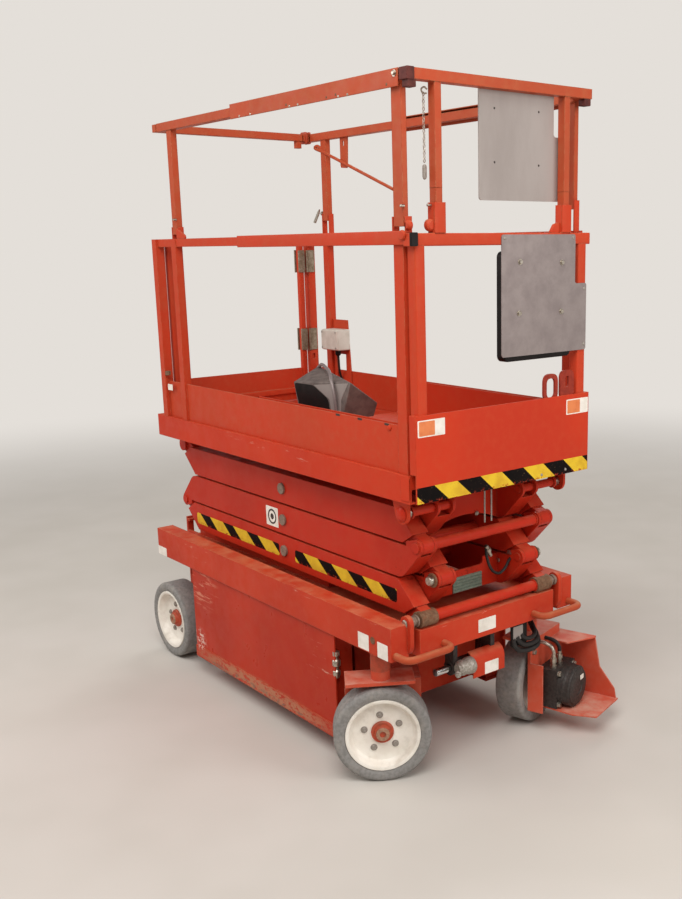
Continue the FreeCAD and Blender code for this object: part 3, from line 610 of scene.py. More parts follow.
def wheel(name, cx, cy, side, body):
    """Solid tyre, dished rim, hub and five wheel bolts, as profiles turned about the axle; replaces the plain tyre and rim."""
    a = math.radians(TURN[name])
    out = np.array([-math.sin(a), math.cos(a), 0.0]) * side
    c = np.array([cx, cy, TYRE_R])
    w = 50.0
    t = np.linspace(0, 1, 9)
    shoulder = np.stack([w - 11 + 11 * np.sin(t * np.pi / 2), TYRE_R - 13 + 13 * np.cos(t * np.pi / 2)], -1)
    tread = np.stack([np.linspace(-w + 11, w - 11, 6), np.full(6, TYRE_R)], -1)
    tyre = np.vstack([[(-w + 6, 124.0), (-w, 130.0)], shoulder[::-1] * (-1, 1), tread[1:-1], shoulder,
                      [(w + 0.6, 140.0), (w - 1.5, 134.0), (w - 5, 125.5), (w - 16, 123.0), (-w + 20, 123.0), (-w + 6, 124.0)]])
    rubber_piece = make(name + "_solid_tyre", turned(c, out, tyre, 96), body, rubber)
    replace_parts(rubber_piece, name + "_tyre")
    rim = [(-18, 25), (-20, 118), (-24, 124.0), (w - 4, 124.0), (w - 2, 122.5), (w - 2, 120.0), (w - 5, 112.5),
           (w - 15, 108.5), (w - 30, 105), (w - 35, 100), (w - 36, 92), (w - 36, 25), (-18, 25)]
    rim_piece = make(name + "_dished_rim", turned(c, out, rim, 96), body, rim_paint)
    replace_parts(rim_piece, name + "_rim")
    face = w - 36.0
    e = axes_of(out)
    bolts = []
    for k in range(5):
        u = 2 * np.pi * (k + 0.35) / 5
        at = c + out * face + 61 * (math.cos(u) * e[1] + math.sin(u) * e[2])
        bolts.append(turned(at, out, [(0, 0), (0, 11.5), (2, 11.5), (2.5, 9), (6, 8.5), (7, 7), (7, 0)], 24))
    make(name + "_wheel_bolts", bolts, body, bolt_grey)
    hub = [(face, 0), (face, 38), (face + 7, 37), (face + 9, 35), (face + 9, 28), (face + 12, 26.5), (face + 19, 25.5),
           (face + 21, 23.5), (face + 21, 0)]
    make(name + "_hub_cap", turned(c, out, hub, 48), body, hub_paint)
    boss = [(face + 21, 22.5), (face + 25, 22), (face + 26, 20.5), (face + 26, 11), (face + 14, 10), (face + 14, 0)]
    make(name + "_axle_end", turned(c, out, boss, 40), body, axle_steel)


for name, cx, cy, side in (("front_right", KING_X, -TRACK_Y, -1), ("front_left", KING_X, TRACK_Y, 1),
                           ("rear_right", REAR_X, -TRACK_Y, -1), ("rear_left", REAR_X, TRACK_Y, 1)):
    wheel(name, cx, cy, side, name + "_wheel")



front_tape = hazard("hazard_tape_on_front_panel", 0.1845, 1.12, 0.344, 0.49)
arm_tapes = (hazard("hazard_tape_at_the_arms_rear", 0.1905, 1.32, 0.093, 0.57),
             hazard("hazard_tape_at_the_arms_front", 0.1815, 1.32, 0.37, 0.52))
tape("front_hazard_tape", (FRONT_X + 0.3, 0, 1002.0), (0, 1, 0), (0, 0, 1), 736, 49, "rollout", front_tape)
for k, (x0, x1) in enumerate(((-672, -22), (87, 694))):
    for s, word in ((-1, "right"), (1, "left")):
        tape("%s_arm_hazard_tape_%d" % (word, k + 1), ((x0 + x1) / 2, s * (ARM_FACE + 0.3), 624), (-s, 0, 0), (0, 0, 1),
             x1 - x0, 46, "lower_outer", arm_tapes[k], 9)

LABELS = (
    # name, centre, across, up, width, height, body, material
    ("front_label_near", (FRONT_X + 0.3, -310, 1201), (0, 1, 0), (0, 0, 1), 104, 50, "rollout", vinyl),
    ("front_label_near_field", (FRONT_X + 0.6, -327, 1201), (0, 1, 0), (0, 0, 1), 60, 43, "rollout", vinyl_orange),
    ("front_label_far", (FRONT_X + 0.3, 315, 1199), (0, 1, 0), (0, 0, 1), 104, 50, "rollout", vinyl),
    ("front_label_far_field", (FRONT_X + 0.6, 298, 1199), (0, 1, 0), (0, 0, 1), 60, 43, "rollout", vinyl_orange),
    ("ledge_label_rear", (662, -405.3, 491), (1, 0, 0), (0, 0, 1), 58, 54, "chassis", vinyl),
    ("ledge_label_front", (764, -405.3, 486), (1, 0, 0), (0, 0, 1), 54, 52, "chassis", vinyl),
    ("ledge_label_tail", (-782, -405.3, 478), (1, 0, 0), (0, 0, 1), 76, 36, "chassis", vinyl),
    ("toe_board_label", (-672, -370.3, 1180), (1, 0, 0), (0, 0, 1), 40, 24, "platform", vinyl),
    ("beam_label", (821.3, -14, 495), (0, 1, 0), (0, 0, 1), 78, 45, "chassis", vinyl),
    ("cover_label", (801.6, 24, 329), (0, 1, 0), (0, 0, 1), 62, 42, "chassis", vinyl),
    ("arm_label", (-62, -ARM_FACE - 0.3, 745), (1, 0, 0), (0, 0, 1), 84, 74, "middle_outer", vinyl),
)
for name, centre, across, up, w, h, body, material in LABELS:
    tape(name, centre, across, up, w, h, body, material, 2.5)
ring = turned((-62, -ARM_FACE - 0.6, 745), (0, -1, 0), [(0, 22), (0.4, 22.5), (0.4, 28.5), (0, 29)], 48)
disc = turned((-62, -ARM_FACE - 0.6, 745), (0, -1, 0), [(0.3, 0), (0.3, 11), (0, 11.5)], 40)
make("arm_label_ring", [ring, disc], "middle_outer", vinyl_dark)


def sleeve(length, r, bore):
    """Profile of a ring of metal about its middle, its outer edges broken by 1 mm."""
    h = length / 2
    return [(-h, bore), (-h, r - 1), (1 - h, r), (h - 1, r), (h, r - 1), (h, bore), (-h, bore)]


def stub(high, r, soft=1.5):
    """Profile of a pin's end or a boss that stands on a face."""
    return [(0, 0), (0, r), (high - soft, r), (high, r - soft), (high, 0)]


def dome(high, r):
    """Profile of a domed head: a quarter ellipse."""
    t = np.linspace(0, np.pi / 2, 8)
    return [(0, 0), *np.stack([high * np.sin(t), r * np.cos(t)], -1).tolist()]


def pair(x, y, z):
    """One place on each side, each with the direction outward."""
    return [((x, -y, z), (0, -1, 0)), ((x, y, z), (0, 1, 0))]


def ahead(x, *spots):
    """Places on a face that looks to the front, each from its y and z."""
    return [((x, y, z), (1, 0, 0)) for y, z in spots]


def near(y, *spots):
    """Places on a face that looks to the right, each from its x and z."""
    return [((x, y, z), (0, -1, 0)) for x, z in spots]


HEAD = [(0, 0), (0, 20.6), (6.6, 20.6), (8, 19.2), (8, 16), (7, 15), (7, 0)]
BOLT = [(0, 0), (0, 9), (1.6, 9), (1.7, 6.4), (6, 6.4), (7, 5), (7, 0)]
SPUN = (
    # name, body, material, slot, profile, places
    ("lower_mid_pin_heads", "lower_outer", pin_steel, "dark_steel", HEAD, pair(MID_X, 290.2, 629)),
    ("middle_mid_pin_heads", "middle_outer", pin_steel, "dark_steel", HEAD, pair(MID_X, 290.2, 747)),
    ("upper_mid_pin_heads", "upper_outer", pin_steel, "dark_steel", HEAD, pair(MID_X, 290.2, 865)),
    ("front_joint_washers", "lower_inner", rusted, "dark_steel", stub(5, 23.5), pair(PIN_X, 225.3, 688)),
    ("front_joint_pins", "lower_inner", zinc, "zinc", stub(15, 15.5, 2.5), pair(PIN_X, 230, 688)),
    ("foot_bushings", "lower_outer", rusted, "dark_steel", sleeve(67, 27, 14.5), pair(PIN_X, 257, BASE_Z)),
    ("foot_pin_collars", "chassis", pin_steel, "dark_steel", sleeve(10, 19, 13), pair(PIN_X, 318, BASE_Z)),
    ("foot_pin_ends", "chassis", zinc, "zinc", stub(9, 13, 3), pair(PIN_X, 337, BASE_Z)),
    ("deck_pin_sleeves", "platform", zinc, "zinc", sleeve(20, 15.6, 13), pair(PIN_X, 323.5, 924)),
    ("deck_ear_bosses", "platform", arm_paint, "orange_paint", [(0, 0), (0, 24), (3, 24), (5.5, 20), (9, 17), (10, 14), (10, 0)],
     pair(PIN_X, 344, 924)),
    ("front_guard_lock_pin", "rollout", zinc, "zinc", stub(16, 4.2, 1.5), near(-280, (887, 1834))),
    ("side_guard_lock_pin", "platform", zinc, "zinc", stub(14, 4.2, 1.5), near(-358, (861, 1832))),
    ("rear_guard_lock_pin", "platform", zinc, "zinc", stub(14, 4.2, 1.5), near(-358, (-545, 1831))),
    ("far_guard_lock_pin", "platform", zinc, "zinc", stub(16, 9, 3), [((-591, 346, 1862), (-1, 0, 0))]),
    ("front_guard_knuckle", "rollout", rail_paint, "orange_paint", stub(17, 17, 5), [((880, -286, 1779), (1, 0, 0))]),
    ("side_guard_knuckle", "platform", rail_paint, "orange_paint", stub(14, 14, 5), near(-344, (868, 1779))),
    ("rail_end_knuckle", "rollout", rail_paint, "orange_paint", stub(8, 14, 3), near(-370, (868, 1752))),
    ("channel_end_bolt", "right_channel", zinc, "zinc", BOLT, near(-370, (845, 2184))),
    ("plate_bolts", "rollout", zinc, "zinc", BOLT, ahead(904, (54, 1670), (238, 1665), (50, 1515), (237, 1512))),
    ("plate_corner_screws", "rollout", bolt_grey, "zinc", dome(3, 5.5),
     ahead(904, (-11, 1741), (289, 1742), (344, 1580), (344, 1402))),
    ("sheet_rivets", "rollout", vinyl_dark, "dark_steel", dome(0.8, 3.4),
     ahead(868.9, (-19, 2115), (166, 2116), (-19, 1962), (167, 1959))),
    ("toe_board_bolt", "platform", deck_paint, "orange_paint", dome(6, 9), near(-356, (765, 1189))),
    ("panel_bolts", "rollout", bolt_grey, "zinc", dome(3, 5), ahead(FRONT_X, (150, 990), (262, 992))),
    ("deck_bolt", "upper_outer", zinc, "zinc", stub(8, 8, 2), ahead(696, (51, 840))),
    ("kingpin_wear_right", "right_knuckle", hub_paint, "orange_paint", sleeve(54, 33, 30), [((KING_X, -TRACK_Y, 403), (0, 0, 1))]),
    ("kingpin_wear_left", "left_knuckle", hub_paint, "orange_paint", sleeve(54, 33, 30), [((KING_X, TRACK_Y, 403), (0, 0, 1))]),
    ("kingpin_caps", "chassis", chassis_paint, "orange_paint", stub(4, 24, 2),
     [((KING_X, s * TRACK_Y, 512), (0, 0, 1)) for s in (-1, 1)]),
    ("ledge_lamp_hole", "chassis", rusted, "dark_steel", [(0, 0), (0, 12), (1.5, 12), (2, 11), (0.6, 7.5), (0.4, 0)],
     near(-405, (713, 508))),
    ("tray_latch_barrel", "right_tray", zinc, "zinc",
     [(0, 0), (0, 9), (12, 13), (24, 13), (30, 8), (38, 8), (44, 14), (62, 14), (68, 8), (74, 8), (80, 12), (94, 12), (100, 0)],
     [((471, -384, 300), (0, 0, 1))]),
    ("tray_latch_barrel_left", "left_tray", zinc, "zinc",
     [(0, 0), (0, 9), (12, 13), (24, 13), (30, 8), (38, 8), (44, 14), (62, 14), (68, 8), (74, 8), (80, 12), (94, 12), (100, 0)],
     [((471, 384, 300), (0, 0, 1))]),
    ("steering_casting", "chassis", cast_alu, "zinc",
     [(0, 0), (0, 16), (4, 18), (8, 24), (20, 27), (34, 25), (44, 29), (60, 30), (66, 27), (66, 0)],
     [((786, -118, 352), (0, 1, 0))]),
    ("steering_casting_boss", "chassis", cast_alu, "zinc", [(0, 0), (0, 11), (10, 11), (12, 8), (20, 8), (22, 6), (22, 0)],
     [((790, -116, 338), (0.72, -0.69, 0))]),
    ("hose_fittings", "lower_inner", zinc, "zinc",
     [(0, 0), (0, 8), (12, 8), (13, 11), (24, 11), (25, 7), (44, 7), (46, 0)],
     [((760, 179, 680), (0.05, -0.86, 0.42)), ((757, 40, 740), (0, 0.5, -0.86))]),
    ("bulkhead_knob", "lower_inner", zinc, "zinc", stub(14, 12, 4), ahead(696, (157, 655))),
    ("cable_gland", "platform", abs_black, "black_plastic",
     [(0, 0), (0, 15), (4, 15), (4, 12), (20, 12), (26, 8), (26, 0)], [((-486, 322, 1293), (0, 0, -1))]),
    ("outlet_lid_screws", "platform", bolt_grey, "zinc", dome(1.6, 4), near(278, (-540, 1304), (-440, 1304), (-540, 1369),
                                                                         (-440, 1369))),
    ("ladder_bolts", "chassis", bolt_grey, "zinc", BOLT,
     [((-850.2, s * 214, z), (-1, 0, 0)) for s in (-1, 1) for z in (478, 494)]),
    ("gate_hinge_barrels", "platform", hinge_steel, "zinc",
     [(0, 0), (0, 5.5), (30, 5.5), (31, 4.5), (32, 5.5), (64, 5.5), (65, 4.5), (66, 5.5), (94, 5.5), (94, 0)],
     [((-706.5, 326.5, z), (0, 0, 1)) for z in (1278, 1616)]),
    ("channel_rivets", "right_channel", rusted, "dark_steel", dome(1, 4),
     near(-370, (288, 2159), (512, 2157), (561, 2159), (809, 2159))),
    ("channel_slide_screws", "right_channel", zinc, "zinc", dome(1.6, 4),
     near(-370, (-7, 2153), (65, 2153), (306, 2153), (355, 2153), (574, 2153), (621, 2153))),
    ("channel_slide_screws_left", "left_channel", zinc, "zinc", dome(1.6, 4),
     [((x, 370, 2153), (0, 1, 0)) for x in (-7, 65, 306, 355, 574, 621)]),
)
for name, body, material, slot, profile, places in SPUN:
    make(name, [turned(at, way, profile, 32) for at, way in places], body, material)

X, Y, Z = (1, 0, 0), (0, 1, 0), (0, 0, 1)
PLATES = (
    # name, body, material, slot, origin, across, up, outline, thickness, corner
    # Cap and brackets in dark red painted shade; the cap stands for the bar's dark open end
    ("corner_cap", "rollout", shade_dark_red, "orange_paint", (902.6, 0, 0), Y, Z,
     [(-372, 2163), (-345, 2163), (-345, 2196.6), (-372, 2196.6)], 34.6, 3),
    ("corner_bracket", "rollout", shade_dark_red, "orange_paint", (900, 0, 0), Y, Z,
     [(-366, 2144), (-338, 2144), (-338, 2166), (-366, 2166)], 26, 3),
    ("far_corner_bracket", "rollout", shade_dark_red, "orange_paint", (900, 0, 0), Y, Z,
     [(338, 2144), (366, 2144), (366, 2166), (338, 2166)], 26, 3),
    ("rail_end_stop", "rollout", abs_black, "black_plastic", (909, 0, 0), Y, Z,
     [(-372, 1721), (-348, 1721), (-348, 1759), (-372, 1759)], 9, 4),
    ("far_sleeve_web", "rollout", rail_paint, "orange_paint", (892, 0, 0), Y, Z,
     [(196, 1757), (240, 1757), (240, 1789), (214, 1784)], 8, 6),
    ("rail_gusset", "platform", rail_paint, "orange_paint", (0, -361, 0), X, Z,
     [(-546, 1760), (-476, 1760), (-478, 1772), (-510, 1786), (-546, 1800)], 6, 6),
    ("side_latch_plate", "platform", rusted, "dark_steel", (0, -370, 0), X, Z,
     [(-712, 1224), (-676, 1228), (-676, 1246), (-712, 1242)], 8, 4),
    ("far_foot_latch", "left_guard", zinc, "zinc", (0, 329, 0), X, Z,
     [(-650, 1826), (-636, 1822), (-604, 1862), (-600, 1880), (-612, 1872)], 5, 3),
    ("deck_corner_plate", "platform", deck_paint, "orange_paint", (0, -372.5, 0), X, Z,
     [(832, 980), (874, 980), (874, 1058), (832, 1058)], 4, 8),
    ("deck_corner_plate_left", "platform", deck_paint, "orange_paint", (0, 376.5, 0), X, Z,
     [(832, 980), (874, 980), (874, 1058), (832, 1058)], 4, 8),
    ("hose_bracket", "chassis", abs_black, "black_metal", (806, 0, 0), Y, Z,
     [(112, 372), (186, 372), (186, 456), (112, 456)], 6, 8),
    ("hose_bracket_tag", "chassis", sheet_metal, "light_sheet", (807.2, 0, 0), Y, Z,
     [(120, 394), (166, 394), (166, 444), (120, 444)], 2, 4),
    ("gate_leaf_low", "gate", hinge_steel, "zinc", (-712, 0, 0), Y, Z,
     [(287, 1278), (319, 1278), (319, 1372), (287, 1372)], 5, 3),
    ("gate_leaf_high", "gate", hinge_steel, "zinc", (-712, 0, 0), Y, Z,
     [(287, 1616), (319, 1616), (319, 1710), (287, 1710)], 5, 3),
    ("post_leaf_low", "platform", hinge_steel, "zinc", (-707, 0, 0), Y, Z,
     [(333, 1278), (364, 1278), (364, 1372), (333, 1372)], 5, 3),
    ("post_leaf_high", "platform", hinge_steel, "zinc", (-707, 0, 0), Y, Z,
     [(333, 1616), (364, 1616), (364, 1710), (333, 1710)], 5, 3),
    ("console_side_plate", "rollout", sheet_metal, "light_sheet", (0, -250.8, 0), X, Z,
     [(196, 1257), (404, 1281), (359, 1220), (356, 1162), (302, 1162), (290, 1216)], 3, 5),
    ("console_end_cover", "rollout", abs_black, "black_plastic", (0, -250.4, 0), X, Z,
     [(70, 1254), (190, 1256), (282, 1216), (294, 1162), (104, 1162), (86, 1206)], 3, 14),
)
for name, body, material, slot, origin, across, up, outline, thick, corner in PLATES:
    make(name, plate(origin, across, up, outline, thick, corner), body, material)

WINDOWS = (
    # name, body, material, slot, origin, across, up, outline, thickness, corner, hole (middle, size, corner)
    ("front_ring_plate", "rollout", worn_red, "orange_paint", (903, 0, 0), Y, Z,
     [(238, 1226), (302, 1226), (302, 1321), (238, 1321)], 8, 24, (270, 1284, 16, 36, 7)),
    ("front_arch_plate", "rollout", worn_red, "orange_paint", (903, 0, 0), Y, Z,
     [(162, 1226), (227, 1226), (227, 1315), (162, 1315)], 8, 28, (194.5, 1269, 38, 62, 17)),
    ("rear_ring_plate", "platform", rail_paint, "orange_paint", (-704, 0, 0), Y, Z,
     [(320, 1164), (362, 1164), (362, 1276), (320, 1276)], 8, 16, (341, 1250, 15, 22, 6)),
    ("hanging_tab", "left_guard", top_paint, "orange_paint", (0, 343, 0), X, Z,
     [(-451, 2040), (-404, 2036), (-398, 2160), (-451, 2160)], 5, 4, (-428, 2134, 10, 20, 4)),
    ("corner_clamp_outer", "left_guard", hub_paint, "orange_paint", (0, 331, 0), X, Z,
     [(-697, 2149), (-655, 2149), (-655, 2197), (-697, 2197)], 6, 6, (-676, 2173, 28.6, 30.6, 2)),
    ("corner_clamp_inner", "left_guard", hub_paint, "orange_paint", (0, 313, 0), X, Z,
     [(-697, 2149), (-655, 2149), (-655, 2197), (-697, 2197)], 6, 6, (-676, 2173, 28.6, 30.6, 2)),
)
for name, body, material, slot, origin, across, up, outline, thick, corner, hole in WINDOWS:
    make(name, window(origin, across, up, outline, thick, hole, corner), body, material)

TUBES = (
    # name, body, material, slot, radius, points
    ("far_guard_brace", "left_guard", top_paint, "orange_paint", 6.5,
     [(-575, 340, 2120), (-602, 334, 2136), (-618, 333, 2128), (-560, 336, 2108), (-425, 340, 2058), (-95, 340, 1938)]),
    ("hose_loop", "lower_inner", hose_rubber, "black_plastic", 5.2,
     [(757, 40, 742), (760, 42, 700), (762, 60, 655), (762, 92, 634), (762, 122, 645), (761, 146, 672), (760, 178, 682)]),
    ("outlet_cable", "platform", hose_rubber, "black_plastic", 5,
     [(-486, 322, 1270), (-487, 324, 1245), (-494, 330, 1215), (-500, 338, 1188), (-500, 345, 1168), (-500, 352.5, 1150)]),
    ("console_hoop", "rollout", plate_metal, "grey_plate", 6,
     [(46, -130, 1296), (100, -152, 1312), (179, -190, 1314), (258, -226, 1306), (306, -252, 1287), (326, -259, 1258),
      (334, -258, 1220), (335, -254, 1170)]),
    ("platform_guide_pin_1", "platform", bolt_grey, "zinc", 2.6, [(850, -49, 856), (850, -49, 900), (850, -49, 960), (850, -49, 1018)]),
    ("platform_guide_pin_2", "platform", bolt_grey, "zinc", 2.6, [(850, -20, 856), (850, -20, 900), (850, -20, 960), (850, -20, 1018)]),
    ("chassis_hose_1", "chassis", hose_rubber, "black_plastic", 9,
     [(803, 122, 400), (806, 126, 376), (810, 148, 354), (812, 190, 347), (808, 232, 350), (788, 258, 366), (756, 262, 396),
      (730, 262, 440)]),
    ("chassis_hose_2", "chassis", hose_rubber, "black_plastic", 9,
     [(803, 140, 404), (807, 146, 386), (811, 170, 370), (810, 206, 366), (802, 238, 370), (780, 256, 384), (752, 260, 408),
      (734, 262, 446)]),
    ("chassis_hose_3", "chassis", hose_rubber, "black_plastic", 8,
     [(803, 160, 410), (806, 166, 398), (808, 188, 388), (804, 216, 386), (792, 238, 392), (770, 252, 406), (748, 258, 424),
      (736, 260, 450)]),
)
for name, body, material, slot, radius, points in TUBES:
    make(name, pipe(curve(points), radius, 14), body, material)


def chain(top, bottom, wire, long, wide):
    """Links along a line, each a closed oval c + a cos u + b sin u of round wire, turned a quarter from its neighbour."""
    top, bottom = np.asarray(top, float), np.asarray(bottom, float)
    down = (bottom - top) / np.linalg.norm(bottom - top)
    count = int(np.linalg.norm(bottom - top) / (long - 2.4 * wire))
    u = np.linspace(0, 2 * np.pi, 17)[:-1]
    links = []
    for k in range(count):
        flat = np.array([1.0, 0, 0]) if k % 2 else np.array([0.0, 1, 0])
        centre = top + down * (k + 0.5) * (long - 2.4 * wire)
        line = centre + np.outer(np.cos(u), down) * (long / 2 - wire) + np.outer(np.sin(u), flat) * (wide / 2 - wire)
        radial = line - centre
        radial /= np.linalg.norm(radial, axis=1)[:, None]
        side = np.cross(down, flat)
        v = np.arange(6) * np.pi / 3
        tube = line[:, None] + wire * (np.cos(v)[None, :, None] * radial[:, None] + np.sin(v)[None, :, None] * side)
        links.append((tube.reshape(-1, 3), weave(16, 6, True, True)))
    return links


make("retaining_chain", chain((866, -286, 2139), (866, -286, 1944), 1.3, 13, 9), "rollout", zinc)
eye = curve([(873, -278, 2146), (870, -286, 2152), (866, -293, 2146), (866, -287, 2136), (872, -278, 2136)])
make("retaining_eye", pipe(eye, 2.4, 10), "rollout", zinc)
make("retaining_pin", turned((866, -286, 1946), (0, 0, -1), [(0, 0), (0, 3), (4, 6), (10, 6.2), (34, 6.2), (40, 4), (42, 0)], 20),
     "rollout", bolt_grey)

# Gate and roll-out rails as tubes with rounded edges, in place of their plain blocks
gate = [tube(-740.5, -717.5, -300, 294, 1732, 1755.5), tube(-740.5, -717.5, -300, 294, 1090, 1114),
        tube(-732, -728, -318, 312, 1062, 1200, 1.5)]
gate += [tube(-741, -717, y, y + 24, 1066, 1756) for y in (-322, 292)]
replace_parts(make("tubular_gate", gate, "gate", rail_paint), "rear_gate")
rails = [tube(869, 901, -370, 370, 1721, 1757)]
for lo, hi in ((318, 354), (-354, -318)):
    rails.append(tube(864, 901, lo, hi, 1077, 1722))
for y, lip in ((-370, -368), (367, 362)):
    rails.append(tube(-69, 869, y, y + 3, 1725, 1764, 1.2))
    rails.append(tube(-68, 868, lip, lip + 6, 1725.5, 1728.5, 1.0))
for s, (y0, y1) in ((-1, (-281, -240)), (1, (240, 281))):
    rails += [tube(871, 899, y0, y0 + 4, 1750, 1841.6, 1), tube(871, 899, y1 - 4, y1, 1750, 1841.6, 1),
              tube(899, 903, y0, y1, 1757, 1842, 1.5)]
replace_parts(make("tubular_rollout_rails", rails, "rollout", rail_paint), "rollout_rails")
make("front_post_feet", [tube(871, 899, lo, lo + 24, 1753, 1882, 0.6) for lo in (-273, 249)], "rollout", top_paint)
t = np.linspace(0, np.pi / 2, 10)
outside = np.vstack([np.stack([767 + 34 * np.sin(t), 352 + 40 * np.cos(t)], -1), [(801, 330), (801, 306)]])
inside = np.vstack([np.stack([767 + 30 * np.sin(t), 352 + 36 * np.cos(t)], -1), [(797, 330), (797, 306)]])
cover = np.vstack([outside, inside[::-1]])
half = len(cover) // 2
faces = np.stack([np.insert(cover, 1, y, axis=1) for y in (-58, 84)])
sides = [(np.stack([faces[k, :half], faces[k, :half - 1:-1]]).reshape(-1, 3), weave(2, half)) for k in (0, 1)]
bent = [(faces.reshape(-1, 3), weave(2, 2 * half, False, True))] + sides
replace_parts(make("bent_steering_cover", bent, "chassis", chassis_paint), "steering_cover")

# Console with a flat lid over its near side and a front that falls to the far side, in place of its plain wedge
n = [(95, -250, 1152), (65, -250, 1256), (415, -250, 1285), (361, -250, 1152)]
f = [(40, -121, 1152), (34, -121, 1300), (390, -121, 1200), (366, -121, 1152)]
lid = [[n[1], n[1]], [n[2], f[1]], [f[2], f[2]]]
walls = [[[n[0], n[1]], [n[3], n[2]]], [[f[0], f[1]], [f[3], f[2]]], [[n[0], f[0]], [n[3], f[3]]],
         [[n[0], f[0]], [n[1], f[1]]], [[n[3], f[3]], [n[2], f[2]]]]
case = [(np.array(g, float).reshape(-1, 3), weave(len(g), 2)) for g in walls + [lid]]
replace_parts(make("moulded_console", case, "rollout", panel_grey, bevel=3.0), "control_box")

# Moulded document box and outlet box, and the finned plate, in place of their plain blocks
case = panel((900.9, 138, 1535), (0, 1, 0), (0, 0, 1), 296, 336, 34.8, 18, 3)
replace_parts(make("moulded_document_box", case, "rollout", abs_black, bevel=2.5), "document_box")
case = [panel((-490, 286, 1336.5), (1, 0, 0), (0, 0, 1), 120, 87, 59.5, 6, 2),
        panel((-490, 279, 1336.5), (1, 0, 0), (0, 0, 1), 116, 83, 7.5, 7, 3)]
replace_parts(make("moulded_outlet_box", case, "platform", grey_box), "outlet_box")
v = np.linspace(0, 1, 61)
ribs = 697.2 + 3.6 * np.clip(2.2 * np.abs(np.sin(v * 5 * np.pi)), 0, 1)
height = 578 + 54 * v
rows = np.stack([np.stack([np.append(ribs, (696, 696)), np.full(63, y), np.append(height, (632, 578))], -1) for y in (-57, 72)])
fins = (rows.reshape(-1, 3), weave(2, 63, False, True))
cap = np.stack([np.stack([ribs, np.full(61, y), height], -1) for y in (-57, 72)] +
               [np.stack([np.full(61, 696.0), np.full(61, y), height], -1) for y in (-57, 72)])
ends = [(cap[[k, k + 2]].reshape(-1, 3), weave(2, 61)) for k in (0, 1)]
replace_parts(make("finned_plate", [fins] + ends, "lower_inner", plate_print, sharp=50), "id_plate")

# Painted shade: dark patches in the slots of the toe board's upper edge
for k, x in enumerate((492, 612, 751)):
    make("toe_board_slot_%d" % k, panel((x, -356.3, 1198), (1, 0, 0), (0, 0, 1), 24, 7, 1, 3), "platform", vinyl_dark)


def on_knuckle(side, forward, inward, z):
    """Place given from the kingpin, ahead of it and inward, to the machine with the wheel's steering angle."""
    a = math.radians(TURN["front_" + side])
    s = 1 if side == "left" else -1
    x, y = forward, -s * inward
    return (KING_X + x * math.cos(a) - y * math.sin(a), s * TRACK_Y + x * math.sin(a) + y * math.cos(a), z)


for side in ("right", "left"):
    base = np.array(on_knuckle(side, 0, 0, 0))
    inner = np.array(on_knuckle(side, 0, 1, 0)) - base
    body = side + "_knuckle"

    def at(forward, inward, z):
        return on_knuckle(side, forward, inward, z)

    shell = [(154, 60), (156, 75.5), (161, 76), (164, 75.5), (186, 75.5), (189, 74), (198, 71), (205, 64), (208.5, 52), (208.5, 30),
             (206.5, 28), (206.5, 0)]
    ribs = [turned(at(0, h, TYRE_R), inner, [(-2, 75), (-2, 76.6), (2, 76.6), (2, 75)], 48) for h in (168, 176)]
    make(side + "_motor_dome", [turned(at(0, 0, TYRE_R), inner, shell, 64)] + ribs, body, cast)
    corners = [(f, z) for f in (-59, 59) for z in (TYRE_R - 59, TYRE_R + 59)]
    make(side + "_motor_bolts", [p for f, z in corners for p in bolt_head(at(f, 156, z), inner, 18, 9)], body, zinc)
    make(side + "_guard_plate_bolts", [p for f, z in ((-95, 300), (95, 292)) for p in bolt_head(at(f, 74, z), inner, 17, 8)],
         body, zinc)
    fitting = [(0, 0), (0, 12), (10, 12), (11, 9), (22, 9), (23, 12), (38, 12), (39, 8), (50, 8), (50, 0)]
    make(side + "_motor_fittings", [turned(at(f, 128, TYRE_R + 71), (0, 0, 1), fitting, 24) for f in (-44, 2)], body, zinc)
    for k, f in enumerate((-44, 2)):
        route = [at(f, 128, 276), at(f, 128, 294), at(f - 2, 118, 312), at(f - 5, 98, 322), at(f - 8, 76, 325), at(f - 10, 58, 328),
                 at(f - 12, 46, 335)]
        make("%s_motor_hose_%d" % (side, k + 1), pipe(curve(route), 7, 14), body, hose_rubber if k else zinc)
    along = np.array(at(1, 0, 0), float) - np.array(at(0, 0, 0), float)
    if np.cross(along, (0, 0, 1)) @ np.asarray(inner, float) < 0:
        along = -along
    tape(side + "_motor_label", at(24, 209.3, TYRE_R + 30), along, np.array([0.0, 0.0, 1.0]), 26, 17, body, vinyl, 2)

WELDS = (
    # name, body, material, radius, points
    ("front_tube_weld", "lower_outer", arm_paint, 3.2, "ring", 18.5, [(PIN_X, s * 223.5, BASE_Z) for s in (-1, 1)]),
    ("middle_tube_weld", "middle_outer", arm_paint, 3.2, "ring", 18.5, [(PIN_X, s * 223.5, 806) for s in (-1, 1)]),
)
for name, body, material, r, kind, big, centres in WELDS:
    u = np.linspace(0, 2 * np.pi, 60)
    beads = [weld(np.stack([x + big * np.cos(u), np.full(60, float(y)), z + big * np.sin(u)], -1), r, k)
             for k, (x, y, z) in enumerate(centres)]
    make(name, beads, body, material)


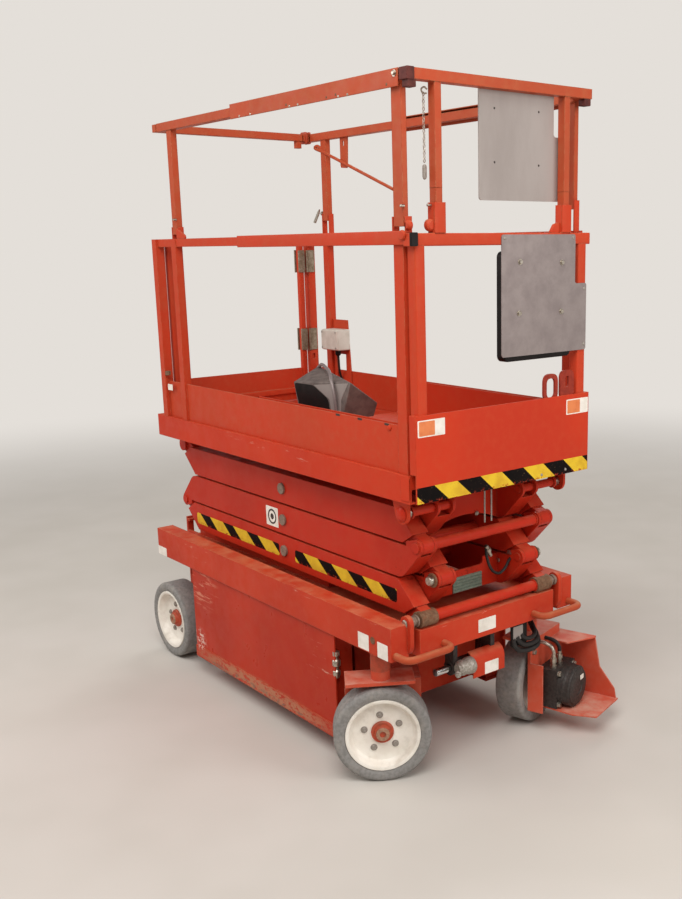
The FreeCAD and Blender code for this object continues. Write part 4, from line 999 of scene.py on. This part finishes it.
def stage():
    """Pale matt floor that runs into a pale background, and soft lamps above and in front."""
    mat, tree, shader, place = new_material("pale_painted_floor")
    tone = span(tree, noise(tree, place, 900, 3), 0.3, 0.7)
    tree.links.new(blend(tree, tone, linear("#d2ccc5"), linear("#cac4bc")), shader.inputs["Base Color"])
    shader.inputs["Roughness"].default_value = 0.8
    shader.inputs["Specular IOR Level"].default_value = 0.12
    glow = add(tree, "ShaderNodeEmission", {"Color": linear(BACKGROUND), "Strength": 1.0})
    far = span(tree, add(tree, "ShaderNodeVectorMath", {0: place}, operation="LENGTH").outputs["Value"], 2.6, 8.0)
    mix = add(tree, "ShaderNodeMixShader", {0: far, 1: shader.outputs["BSDF"], 2: glow.outputs["Emission"]})
    out = next(n for n in tree.nodes if n.type == "OUTPUT_MATERIAL")
    tree.links.new(mix.outputs["Shader"], out.inputs["Surface"])
    points, faces = turned((0, 0, -1.0), (0, 0, 1), [(0, 0), (0, 4000), (0, 40000)], 64)
    mesh = bpy.data.meshes.new("floor")
    mesh.from_pydata((points / 1000).tolist(), [], faces.tolist())
    mesh.materials.append(mat)
    obj = bpy.data.objects.new("floor", mesh)
    bpy.context.scene.collection.objects.link(obj)
    obj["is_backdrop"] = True

    world = bpy.data.worlds.new("studio")
    bpy.context.scene.world = world
    world.use_nodes = True
    tree = world.node_tree
    tree.nodes.clear()
    ray = add(tree, "ShaderNodeLightPath")
    seen = calc(tree, "MAXIMUM", ray.outputs["Is Camera Ray"], ray.outputs["Is Transmission Ray"])
    low = calc(tree, "MULTIPLY_ADD", ray.outputs["Is Glossy Ray"], -0.17, 0.42)
    strength = calc(tree, "MAXIMUM", seen, low)
    back = add(tree, "ShaderNodeBackground", {"Color": linear(BACKGROUND), "Strength": strength})
    add(tree, "ShaderNodeOutputWorld", {"Surface": back.outputs["Background"]})

    for name, pos, aim, size, power in LAMPS:
        lamp = bpy.data.lights.new(name, "AREA")
        lamp.shape, lamp.size, lamp.energy = "DISK", size, power
        lamp.color = (1.0, 0.99, 0.975)
        obj = bpy.data.objects.new(name, lamp)
        obj.location = pos
        obj.rotation_euler = (Vector(aim) - Vector(pos)).to_track_quat("-Z", "Y").to_euler()
        bpy.context.scene.collection.objects.link(obj)


BACKGROUND = "#e4dfd9"
LAMPS = (
    # name, place, aim (m), diameter (m), watts
    ("key", (2.6, -2.4, 4.6), (0, 0, 0.8), 3.2, 172),
    ("fill", (-2.8, -3.4, 3.4), (0, 0, 0.9), 3.0, 84),
    ("front", (4.6, 1.4, 2.6), (0, 0, 1.0), 2.6, 76),
    ("back", (-2.4, 3.4, 4.2), (0, 0, 0.8), 3.0, 70),
)
stage()
bpy.context.scene.view_settings.view_transform = "Standard"

lo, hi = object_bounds()
